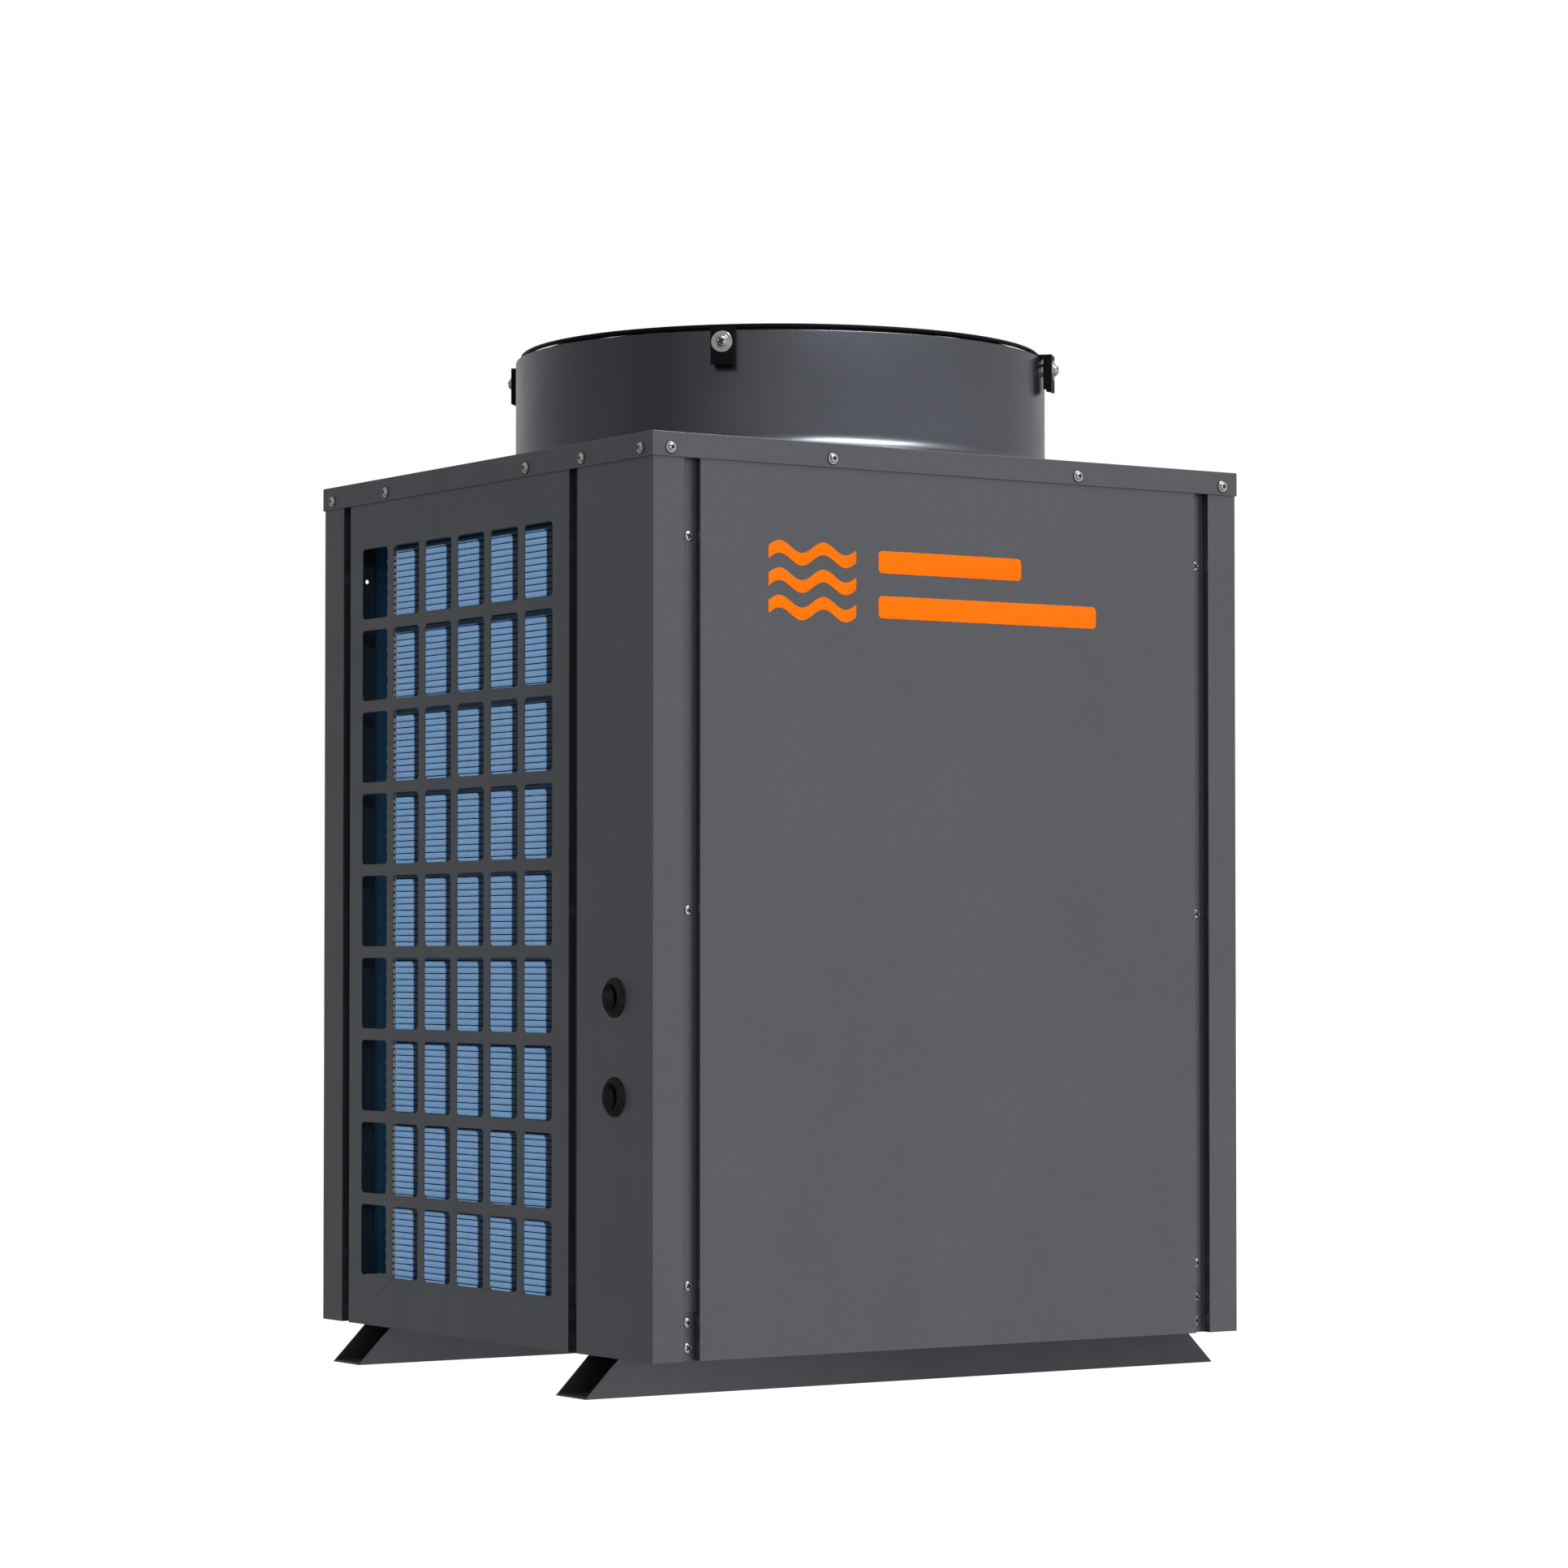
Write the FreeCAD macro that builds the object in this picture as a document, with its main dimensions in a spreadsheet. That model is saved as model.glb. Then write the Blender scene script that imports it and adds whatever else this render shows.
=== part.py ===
import FreeCAD, Part
import math
import os

import Sketcher

# Air-source pool heat pump with a top fan: a charcoal sheet-metal cabinet on two skid rails,
# coils behind the left and right grilles, and a round fan duct with a wire guard on top.
# Frame: +X right, +Y to the rear, +Z up. The origin is on the ground under the cabinet's centre.

DIMENSIONS = {
    # cabinet outside and the skid rails under it
    "cabinet_width": 800, "cabinet_depth": 750, "cabinet_height": 1000, "rail_height": 43.5,
    "rail_width": 63.5, "rail_spacing": 515, "rail_toe": 31.8, "rail_sheet": 2, "rail_lip": 18,
    "anchor_spacing": 700, "anchor_radius": 6, "rail_bolt_spacing": 600,
    # M8 bolts and nuts
    "bolt_radius": 4, "bolt_hole": 4.2, "bolt_flats": 13, "bolt_head": 5.3, "bolt_nut": 6.5,
    # drain hole and hose spigot
    "drain_y": 60, "drain_hole": 10.2, "spigot_bore": 7, "spigot_radius": 9.5, "spigot_length": 28,
    # folded steel skin
    "skin": 1.2, "tray_sheet": 1.5, "tray_wall": 52, "groove_depth": 11, "flange": 14, "tuck": 3,
    "post_face": 40, "groove_face": 20, "post_side_front": 158, "post_side_rear": 47.5, "groove_side": 17.5,
    "panel_top_gap": 4, "screw_inset": 8.6,
    # the grille's openings, counted from the front lower one
    "hole_width": 61.5, "hole_height": 83.4, "hole_round": 6, "column_pitch": 76.3, "row_pitch": 97.15,
    "columns": 6, "rows": 9, "grille_margin": 36.2, "grille_base": 58.8,
    # top cover, fan duct and guard
    "cap_overhang": 2, "cap_lip": 27, "duct_radius": 314, "duct_height": 138.5, "duct_sheet": 1.5,
    "duct_flare": 20, "duct_foot": 350, "fan_x": 8, "fan_y": -5,
    "guard_radius": 306, "guard_wire": 5, "ring_wire": 3.2, "ring_pitch": 18, "guard_disc": 70, "spokes": 8,
    "tab_width": 26, "tab_drop": 43, "tab_sheet": 3, "tab_bolt_drop": 17.5, "tab_gap": 10.3,
    "washer_radius": 12, "tab_head": 6.4,
    # fan and motor
    "blades": 4, "blade_tip": 288, "hub_radius": 78, "hub_height": 60, "fan_gap": 14,
    "shaft_radius": 8, "shaft_clearance": 0.05, "motor_radius": 72, "motor_height": 120,
    "beam_height": 30, "beam_width": 30, "beam_spread": 70, "beam_length": 700, "beam_sheet": 2.5,
    "motor_plate": 3, "motor_flange": 6, "motor_bolt_x": 64, "motor_bolt_y": 54, "plate_reach": 95,
    "bearing_radius": 17.5,
    # evaporator coils
    "coil_setback": 20, "coil_thickness": 44, "coil_front": -225, "coil_rear": 232, "coil_base": 62,
    "coil_height": 934, "coil_tube": 3.5, "bend_reach": 24, "bend_pitch": 29.2, "bends": 32,
    # compressor, accumulator and water heat exchanger
    "compressor_x": -130, "compressor_y": -110, "compressor_radius": 88, "compressor_height": 380,
    "foot_reach": 88, "foot_plate": 105, "foot_rubber": 22,
    "accumulator_x": 55, "accumulator_y": -170, "accumulator_radius": 50, "accumulator_height": 300,
    "exchanger_x": 150, "exchanger_y": 150, "exchanger_radius": 100, "exchanger_height": 560,
    "water_low": 180, "water_high": 560, "water_bore": 22, "water_pipe": 25, "water_port": 32,
    "union_radius": 37, "union_bore": 25.1,
    # reversing valve, the pipes' highest and lowest crossings, and their bores
    "valve_x": -90, "valve_y": 20, "valve_z": 560, "valve_port": 36, "suction_high": 640, "hot_gas_high": 690,
    "coil_gas_high": 615, "discharge_turn": 495, "suction_turn": 430, "thick_pipe": 9, "middle_pipe": 8,
    "thin_pipe": 5,
    # electrical box behind the front panel
    "box_left": -250, "box_right": 250, "box_front": -352, "box_depth": 95, "box_low": 640, "box_high": 965,
    # cable grommets in the front left post
    "grommet_y": -296, "grommet_low": 282.5, "grommet_high": 390.2, "grommet_radius": 21.7,
    "grommet_mouth": 15, "grommet_bore": 9, "grommet_rise": 5.8, "grommet_hole": 17,
    "contactor_travel": 4,
}

doc = FreeCAD.newDocument("PoolHeatPump")
sheet = doc.addObject("Spreadsheet::Sheet", "Dims")
for line, (alias, number) in enumerate(DIMENSIONS.items(), start=1):
    sheet.set(f"A{line}", alias)
    sheet.set(f"B{line}", str(number))
    sheet.setAlias(f"B{line}", alias)
doc.recompute()


class Size:
    """A length that carries the spreadsheet formula it comes from, so a sum makes both."""

    def __init__(self, value, formula):
        self.value = value
        self.formula = formula

    def __add__(self, other):
        return Size(self.value + number_of(other), f"({self.formula} + {formula_of(other)})")

    def __sub__(self, other):
        return Size(self.value - number_of(other), f"({self.formula} - {formula_of(other)})")

    def __mul__(self, other):
        return Size(self.value * number_of(other), f"({self.formula} * {formula_of(other)})")

    def __truediv__(self, other):
        return Size(self.value / number_of(other), f"({self.formula} / {formula_of(other)})")

    def __neg__(self):
        return self * -1

    def __radd__(self, other):
        return self + other

    def __rmul__(self, other):
        return self * other

    def __rsub__(self, other):
        return -self + other


def number_of(length):
    return length.value if isinstance(length, Size) else float(length)


def formula_of(length):
    return length.formula if isinstance(length, Size) else f"({float(length)})"


class Sizes:
    """Every alias of the spreadsheet as a Size."""

    def __getattr__(self, alias):
        return Size(float(sheet.get(alias)), f"Dims.{alias}")


d = Sizes()
Vector = FreeCAD.Vector
AXES = {"x": Vector(1, 0, 0), "y": Vector(0, 1, 0), "z": Vector(0, 0, 1)}
subparts = []


# ---------------------------------------------------------------- building blocks

def bind(thing, field, length):
    """Set a property, and tie it to the spreadsheet when the length comes from there."""
    if isinstance(length, Size):
        thing.setExpression(field, length.formula)
    else:
        setattr(thing, field, length)


def locate(thing, x, y, z):
    """Put an object's own origin at a point, each coordinate tied to the spreadsheet."""
    thing.Placement.Base = Vector(number_of(x), number_of(y), number_of(z))
    for letter, length in zip("xyz", (x, y, z)):
        if isinstance(length, Size):
            thing.setExpression(f".Placement.Base.{letter}", length.formula)
    return thing


def named(label, thing):
    """Name a finished sub-part, which is then written to a file of that name."""
    thing.Label = label
    subparts.append(thing)
    return thing


def block(low, high):
    """A box between two opposite corners."""
    box = doc.addObject("Part::Box", "Block")
    for field, start, end in zip(("Length", "Width", "Height"), low, high):
        bind(box, field, end - start)
    return locate(box, *low)


def rod(start, radius, length, axis="z"):
    """A cylinder from a point along +X, +Y or +Z."""
    cylinder = doc.addObject("Part::Cylinder", "Rod")
    bind(cylinder, "Radius", radius)
    bind(cylinder, "Height", length)
    cylinder.Placement.Rotation = FreeCAD.Rotation(AXES["z"], AXES[axis])
    return locate(cylinder, *start)


def cut(base, *tools):
    """The base with every tool taken away."""
    result = doc.addObject("Part::Cut", "Cut")
    result.Base = base
    result.Tool = tools[0] if len(tools) == 1 else join(*tools)
    return result


def join(*pieces):
    """One solid of several that touch or overlap."""
    result = doc.addObject("Part::MultiFuse", "Join")
    result.Shapes = list(pieces)
    result.Refine = True
    return result


def group(*pieces):
    """Separate solids kept together as one sub-part."""
    result = doc.addObject("Part::Compound", "Group")
    result.Links = list(pieces)
    return result


def tube(start, outer, inner, length, axis="z"):
    """A straight pipe with a round bore."""
    return cut(rod(start, outer, length, axis), rod(start, inner, length, axis))


def shape_of(thing):
    """The computed shape of an object that another one is made from."""
    doc.recompute()
    return thing.Shape


def feature(shape):
    """A document object for a shape made with Part's own functions."""
    result = doc.addObject("Part::Feature", "Shape")
    result.Shape = shape
    return result


def repeated(piece, places):
    """Copies of a piece, one at each placement."""
    shape = shape_of(piece)
    return feature(Part.makeCompound([shape.transformed(place.toMatrix(), True) for place in places]))


def turn(angle, axis="z"):
    return FreeCAD.Rotation(AXES[axis], angle)


def placement(x, y, z, rotation=None):
    return FreeCAD.Placement(Vector(*map(number_of, (x, y, z))), rotation or FreeCAD.Rotation())


def new_sketch(body, plane):
    """A sketch on one of the body's own origin planes."""
    sketch = body.newObject("Sketcher::SketchObject", "Sketch")
    support = next(item for item in body.Origin.OriginFeatures if item.Role == plane)
    sketch.AttachmentSupport = [(support, "")]
    sketch.MapMode = "FlatFace"
    return sketch


def pin_point(sketch, edge, x, y):
    """Tie the start of an edge to the sketch origin in both directions."""
    for kind, length in (("DistanceX", x), ("DistanceY", y)):
        index = sketch.addConstraint(Sketcher.Constraint(kind, -1, 1, edge, 1, number_of(length)))
        if isinstance(length, Size):
            sketch.setExpression(f"Constraints[{index}]", length.formula)


def draw_polygon(sketch, corners):
    """A closed outline with each corner tied to the spreadsheet."""
    points = [Vector(number_of(x), number_of(y), 0) for x, y in corners]
    edges = [sketch.addGeometry(Part.LineSegment(a, b)) for a, b in zip(points, points[1:] + points[:1])]
    for edge, following in zip(edges, edges[1:] + edges[:1]):
        sketch.addConstraint(Sketcher.Constraint("Coincident", edge, 2, following, 1))
    for edge, (x, y) in zip(edges, corners):
        pin_point(sketch, edge, x, y)


def folded_outline(path, thickness, side):
    """Outline of a bent strip: its outer face along a square-cornered path, then its inner face back.

    side is 1 when the sheet lies to the left of the path's direction and -1 when it lies to the right.
    """
    steps = [(number_of(b[0] - a[0]), number_of(b[1] - a[1])) for a, b in zip(path, path[1:])]
    lefts = [(-math.copysign(1, v) if abs(v) > 1e-9 else 0, math.copysign(1, h) if abs(h) > 1e-9 else 0)
             for h, v in steps]
    inner = []
    for index, (x, y) in enumerate(path):
        beside = {lefts[max(index - 1, 0)], lefts[min(index, len(lefts) - 1)]}
        inner.append((x + thickness * side * sum(n[0] for n in beside),
                      y + thickness * side * sum(n[1] for n in beside)))
    return path + inner[::-1]


def extruded(corners, plane, length, both_ways=False):
    """A body padded from a closed outline on one of its origin planes."""
    body = doc.addObject("PartDesign::Body", "Body")
    sketch = new_sketch(body, plane)
    draw_polygon(sketch, corners)
    pad = body.newObject("PartDesign::Pad", "Pad")
    pad.Profile = sketch
    pad.SideType = "Symmetric" if both_ways else "One side"
    bind(pad, "Length", length)
    body.Tip = pad
    return body


def turned(corners, x=0.0, y=0.0, z=0.0):
    """A body turned about its own vertical axis from an outline of (radius, height) corners."""
    body = doc.addObject("PartDesign::Body", "Body")
    sketch = new_sketch(body, "XZ_Plane")
    draw_polygon(sketch, corners)
    revolution = body.newObject("PartDesign::Revolution", "Revolution")
    revolution.Profile = sketch
    revolution.ReferenceAxis = (sketch, ["V_Axis"])
    revolution.Angle = 360
    body.Tip = revolution
    return locate(body, x, y, z)


def pipe(points, radius, bend):
    """A round tube along straight runs joined by tangent arcs."""
    corners = [Vector(*map(number_of, point)) for point in points]
    edges = []
    start = corners[0]
    for before, corner, after in zip(corners, corners[1:], corners[2:]):
        back = (before - corner).normalize()
        ahead = (after - corner).normalize()
        half_turn = (math.pi - back.getAngle(ahead)) / 2
        reach = bend * math.tan(half_turn)
        middle = corner + (back + ahead).normalize() * (bend / math.cos(half_turn) - bend)
        edges.append(Part.LineSegment(start, corner + back * reach).toShape())
        edges.append(Part.Arc(corner + back * reach, middle, corner + ahead * reach).toShape())
        start = corner + ahead * reach
    edges.append(Part.LineSegment(start, corners[-1]).toShape())
    first_way = corners[1] - corners[0]
    ring = Part.Wire([Part.makeCircle(number_of(radius), corners[0], first_way)])
    return feature(Part.Wire(edges).makePipeShell([ring], True, False))


# ---------------------------------------------------------------- shared positions

half_width = d.cabinet_width / 2
half_depth = d.cabinet_depth / 2
floor_level = d.rail_height
tray_top = floor_level + d.tray_sheet
top_level = floor_level + d.cabinet_height
cap_under = top_level - d.skin
rim_level = top_level + d.duct_height
panel_edge_x = half_width - d.post_face - d.groove_face
panel_front_y = d.post_side_front + d.groove_side - half_depth
panel_rear_y = half_depth - d.post_side_rear - d.groove_side
panel_top = cap_under - d.panel_top_gap
SCREW_LEVELS = (13.7, 40.8, 80.2, 484.5, 889.2)
CAP_SCREWS_ALONG_X = (-378.5, -168.0, 170.0, 380.5)
CAP_SCREWS_ALONG_Y = (-352.0, -228.5, -107.0, 220.0, 353.0)
CAP_SCREW_DROP = 17
TAB_ANGLES = (45, 135, 225, 315)


# ---------------------------------------------------------------- base

def make_rail(label, side):
    """A lipped channel, open upward, with both ends cut at 45 degrees."""
    toe = half_width + d.rail_toe
    heel = toe - d.rail_height
    body = extruded([(-toe, 0.0), (toe, 0.0), (heel, d.rail_height), (-heel, d.rail_height)],
                    "XZ_Plane", d.rail_width, both_ways=True)
    web = d.rail_width / 2 - d.rail_sheet
    slot = d.rail_width / 2 - d.rail_lip
    under_lip = d.rail_height - d.rail_sheet
    sketch = new_sketch(body, "YZ_Plane")
    draw_polygon(sketch, [(-web, d.rail_sheet), (web, d.rail_sheet), (web, under_lip), (slot, under_lip),
                          (slot, d.rail_height + 1), (-slot, d.rail_height + 1), (-slot, under_lip),
                          (-web, under_lip)])
    hollow = body.newObject("PartDesign::Pocket", "Hollow")
    hollow.Profile = sketch
    hollow.SideType = "Symmetric"
    hollow.Type = "ThroughAll"
    body.Tip = hollow
    y = d.rail_spacing / 2 * side
    locate(body, 0.0, y, 0.0)
    through = d.rail_sheet + 2
    anchors = [rod((d.anchor_spacing / 2 * end, y, -1), d.anchor_radius, through) for end in (-1, 1)]
    lip_holes = [rod((x, lip_y, under_lip - 1), d.bolt_hole, through) for x, lip_y in rail_bolt_spots(side)]
    return named(label, cut(body, *anchors, *lip_holes))


def rail_bolt_spots(side):
    """Where bolts join one rail's two lips to the tray."""
    lip_middle = d.rail_width / 2 - d.rail_lip / 2
    return [(d.rail_bolt_spacing / 2 * end, d.rail_spacing / 2 * side + lip_middle * lip)
            for end in (-1, 1) for lip in (-1, 1)]


def make_tray():
    """A folded pan that everything inside stands on, with a drain hole."""
    edge_x = half_width - d.groove_depth - d.skin
    edge_y = half_depth - d.groove_depth - d.skin
    rim = floor_level + d.tray_wall
    outer = block((-edge_x, -edge_y, floor_level), (edge_x, edge_y, rim))
    inner = block((d.tray_sheet - edge_x, d.tray_sheet - edge_y, tray_top),
                  (edge_x - d.tray_sheet, edge_y - d.tray_sheet, rim + 1))
    spots = rail_bolt_spots(-1) + rail_bolt_spots(1)
    holes = [rod((x, y, floor_level - 1), d.bolt_hole, d.tray_sheet + 2) for x, y in spots]
    drain = rod((0.0, d.drain_y, floor_level - 1), d.drain_hole, d.tray_sheet + 2)
    return named("base_tray", cut(outer, inner, drain, *holes))


def hexagon(across_flats):
    """Corners of a bolt head seen from above."""
    reach = across_flats / 2 / math.cos(math.pi / 6)
    return [(reach * math.cos(math.pi / 3 * k), reach * math.sin(math.pi / 3 * k)) for k in range(6)]


def hexagon_piece(height, z):
    """An M8 head or nut, its lower face at a level."""
    return locate(extruded(hexagon(d.bolt_flats), "XY_Plane", height), 0.0, 0.0, z)


def make_frame_bolts():
    """M8 bolts with hexagon nuts: eight at the rails, four at the motor and four at the compressor."""
    rail_head = hexagon_piece(d.bolt_head, d.tray_sheet)
    rail_nut = hexagon_piece(d.bolt_nut, -d.rail_sheet - d.bolt_nut)
    rail_bolt = join(rail_head, rail_nut, rod((0.0, 0.0, -14.0), d.bolt_radius, d.tray_sheet + 15))
    spots = rail_bolt_spots(-1) + rail_bolt_spots(1)
    rail_set = repeated(rail_bolt, [placement(x, y, floor_level) for x, y in spots])
    lip_top = cap_under - d.beam_height + d.beam_sheet
    grip = d.beam_sheet + d.motor_plate + d.motor_flange
    motor_head = hexagon_piece(d.bolt_head, -grip - d.bolt_head)
    motor_nut = hexagon_piece(d.bolt_nut, 0.0)
    motor_bolt = join(motor_head, motor_nut, rod((0.0, 0.0, -grip - 1), d.bolt_radius, grip + 10))
    motor_set = repeated(motor_bolt, [placement(x, y, lip_top) for x, y in motor_bolt_spots()])
    washer_low = d.foot_rubber + 4
    washer = rod((0.0, 0.0, washer_low), d.washer_radius, 2.0)
    foot_nut = hexagon_piece(d.bolt_nut, washer_low + 2)
    foot_bolt = join(rod((0.0, 0.0, 0.0), d.bolt_radius, washer_low + 10), washer, foot_nut)
    foot_set = repeated(foot_bolt, [placement(x, y, tray_top) for x, y in compressor_bolt_spots()])
    named("frame_bolts", group(rail_set, motor_set, foot_set))


def compressor_bolt_spots():
    return [(d.compressor_x + d.foot_reach * a, d.compressor_y + d.foot_reach * b)
            for a in (-1, 1) for b in (-1, 1)]


def motor_bolt_spots():
    return [(d.fan_x + d.motor_bolt_x * a, d.fan_y + d.motor_bolt_y * b) for a in (-1, 1) for b in (-1, 1)]


def make_drain():
    """A hose spigot: its flange lies under the tray and its collar sits in the drain hole."""
    flange, collar = 3.0, 4.5
    outline = [(d.spigot_bore, -d.spigot_length), (d.spigot_radius, -d.spigot_length), (d.spigot_radius, 0.0),
               (16.0, 0.0), (16.0, flange), (10.0, flange), (10.0, collar), (d.spigot_bore, collar)]
    named("drain_spigot", turned(outline, 0.0, d.drain_y, floor_level - flange))


# ---------------------------------------------------------------- cabinet skin

def make_post(label, side, end, side_face):
    """A corner post: two faces, each with a sunken groove where a panel screws on."""
    corner_x, corner_y = half_width * side, half_depth * end
    sunk_x = (half_width - d.groove_depth) * side
    sunk_y = (half_depth - d.groove_depth) * end
    side_edge = (half_depth - side_face) * end
    side_end = (half_depth - side_face - d.groove_side - d.tuck) * end
    face_edge = (half_width - d.post_face) * side
    face_end = (panel_edge_x - d.tuck) * side
    path = [(sunk_x, side_end), (sunk_x, side_edge), (corner_x, side_edge), (corner_x, corner_y),
            (face_edge, corner_y), (face_edge, sunk_y), (face_end, sunk_y)]
    outline = folded_outline(path, d.skin, side=side * end)
    post = locate(extruded(outline, "XY_Plane", cap_under - floor_level), 0.0, 0.0, floor_level)
    return post if label is None else named(label, post)


def make_posts():
    make_post("front_right_post", 1, -1, d.post_side_front)
    make_post("rear_right_post", 1, 1, d.post_side_rear)
    bare = make_post(None, -1, -1, d.post_side_front)
    holes = [rod((-half_width - 2, d.grommet_y, floor_level + level), d.grommet_hole, 6.0, "x")
             for level in (d.grommet_low, d.grommet_high)]
    named("front_left_post", cut(bare, *holes))
    bare = make_post(None, -1, 1, d.post_side_rear)
    named("rear_left_post", cut(bare, open_screw_hole()))


def open_screw_hole():
    """The one groove hole, high at the rear left, that has no screw in it."""
    start = (-panel_edge_x - d.screw_inset, half_depth - 20, floor_level + SCREW_LEVELS[-1])
    return rod(start, 2.6, 25.0, "y")


def panel_body(low, high, face, sunk, across_x):
    """A shallow pan with outward flanges that lie on the posts' grooves, clear of the tray wall."""
    path = [(low - d.flange, sunk), (low, sunk), (low, face),
            (high, face), (high, sunk), (high + d.flange, sunk)]
    outward = 1 if number_of(face) > 0 else -1
    if not across_x:
        path = [(y, x) for x, y in path]
    outline = folded_outline(path, d.skin, side=-outward if across_x else outward)
    pan = locate(extruded(outline, "XY_Plane", panel_top - floor_level), 0.0, 0.0, floor_level)
    foot = floor_level + d.tray_wall
    notches = []
    for near, far in ((low - d.flange - 1, low), (high, high + d.flange + 1)):
        inside, outside = sunk - 3 * outward, sunk + outward
        shallow, deep = (inside, outside) if outward > 0 else (outside, inside)
        corners = ((near, shallow, floor_level - 1), (far, deep, foot))
        if not across_x:
            corners = tuple((y, x, z) for x, y, z in corners)
        notches.append(block(*corners))
    return cut(pan, *notches)


def make_front_panel():
    panel = panel_body(-panel_edge_x, panel_edge_x, -half_depth, d.groove_depth - d.skin - half_depth, True)
    named("front_panel", panel)


def make_rear_panel():
    """The service side: water unions pass through two round holes."""
    panel = panel_body(-panel_edge_x, panel_edge_x, half_depth, half_depth - d.groove_depth + d.skin, True)
    ports = [rod((d.exchanger_x, half_depth - 6, level), d.water_port, 12.0, "y")
             for level in (d.water_low, d.water_high)]
    named("rear_panel", cut(panel, open_screw_hole(), *ports))


def make_grille_panel(label, side):
    """A side panel with six columns of nine rounded openings."""
    face = half_width * side
    sunk = (half_width - d.groove_depth + d.skin) * side
    panel = panel_body(panel_front_y, panel_rear_y, face, sunk, False)
    opening = extruded_round_slot()
    holes = []
    for column in range(DIMENSIONS["columns"]):
        for row in range(DIMENSIONS["rows"]):
            y = panel_front_y + d.grille_margin + d.column_pitch * column
            z = floor_level + d.grille_base + d.row_pitch * row
            holes.append(placement(face, y, z))
    named(label, cut(panel, repeated(opening, holes)))


def extruded_round_slot():
    """A rounded bar as wide and high as one grille opening, along X."""
    bar = block((-6.0, 0.0, 0.0), (6.0, d.hole_width, d.hole_height))
    rounded = doc.addObject("Part::Fillet", "Rounded")
    rounded.Base = bar
    shape = shape_of(bar)
    radius = number_of(d.hole_round)
    long_edges = [index for index, edge in enumerate(shape.Edges, start=1) if edge.BoundBox.XLength > 6]
    rounded.Edges = [(index, radius, radius) for index in long_edges]
    return rounded


def make_top_cover():
    """A shallow cap over the posts with the fan's round hole."""
    over_x, over_y = half_width + d.cap_overhang, half_depth + d.cap_overhang
    outer = block((-over_x, -over_y, top_level - d.cap_lip), (over_x, over_y, top_level))
    inner = block((d.skin - over_x, d.skin - over_y, top_level - d.cap_lip - 1),
                  (over_x - d.skin, over_y - d.skin, cap_under))
    hole = rod((d.fan_x, d.fan_y, cap_under - 5), d.duct_radius - d.duct_sheet, 10.0)
    named("top_cover", cut(outer, inner, hole))


def screw(head_radius, head_height, shank):
    """A domed self-tapping screw along +Z: the head stands on z = 0 and the shank goes below."""
    return turned([(0.0, -shank), (1.6, -shank + 2), (1.6, 0.0), (head_radius, 0.0),
                   (head_radius, head_height * 0.35), (head_radius * 0.8, head_height * 0.8),
                   (head_radius * 0.4, head_height), (0.0, head_height)])


def make_panel_screws():
    """Domed screws down both edges of all four panels, on the sunken flanges."""
    piece = screw(5.5, 2.8, 8.0)
    places = []
    for level in SCREW_LEVELS:
        z = floor_level + level
        raised = d.skin if level > DIMENSIONS["tray_wall"] else 0.0
        for sign in (-1, 1):
            x = (panel_edge_x + d.screw_inset) * sign
            places.append(placement(x, -half_depth + d.groove_depth - raised, z, turn(90, "x")))
            if (sign, level) != (-1, SCREW_LEVELS[-1]):
                places.append(placement(x, half_depth - d.groove_depth + raised, z, turn(-90, "x")))
        for y in (panel_front_y - d.screw_inset, panel_rear_y + d.screw_inset):
            places.append(placement(-half_width + d.groove_depth - raised, y, z, turn(-90, "y")))
            places.append(placement(half_width - d.groove_depth + raised, y, z, turn(90, "y")))
    named("panel_screws", repeated(piece, places))


def make_cap_screws():
    """Pan-head screws with plain washers round the cap's lip and on the duct's foot."""
    rise = 1.1
    washer = turned([(1.6, 0.0), (6.2, 0.0), (6.2, rise), (1.6, rise)])
    head = locate(screw(4.6, 2.9, 9.0), 0.0, 0.0, rise)
    piece = join(washer, head)
    z = top_level - CAP_SCREW_DROP
    x_face, y_face = half_width + d.cap_overhang, half_depth + d.cap_overhang
    places = []
    for x in CAP_SCREWS_ALONG_X:
        places.append(placement(x, -y_face, z, turn(90, "x")))
        places.append(placement(x, y_face, z, turn(-90, "x")))
    for y in CAP_SCREWS_ALONG_Y:
        places.append(placement(-x_face, y, z, turn(-90, "y")))
        places.append(placement(x_face, y, z, turn(90, "y")))
    named("cap_screws", repeated(piece, places + duct_screw_places()))


def make_grommets():
    """Two rubber cable grommets gripping the front left post's sheet."""
    rise, mouth, base = d.grommet_rise, d.grommet_mouth, d.grommet_radius
    neck, inner_lip = d.grommet_hole, d.grommet_hole + 3
    profile = [(d.grommet_bore, -10.0), (inner_lip, -10.0), (inner_lip, -d.skin), (neck, -d.skin),
               (neck, 0.0), (base, 0.0), (base, 1.2), (mouth + 1.2, rise), (mouth, rise), (mouth - 2.5, -3.0),
               (d.grommet_bore, -6.0)]
    piece = turned(profile)
    places = [placement(-half_width, d.grommet_y, floor_level + level, turn(-90, "y"))
              for level in (d.grommet_low, d.grommet_high)]
    named("cable_grommets", repeated(piece, places))


# ---------------------------------------------------------------- duct and guard

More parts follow.
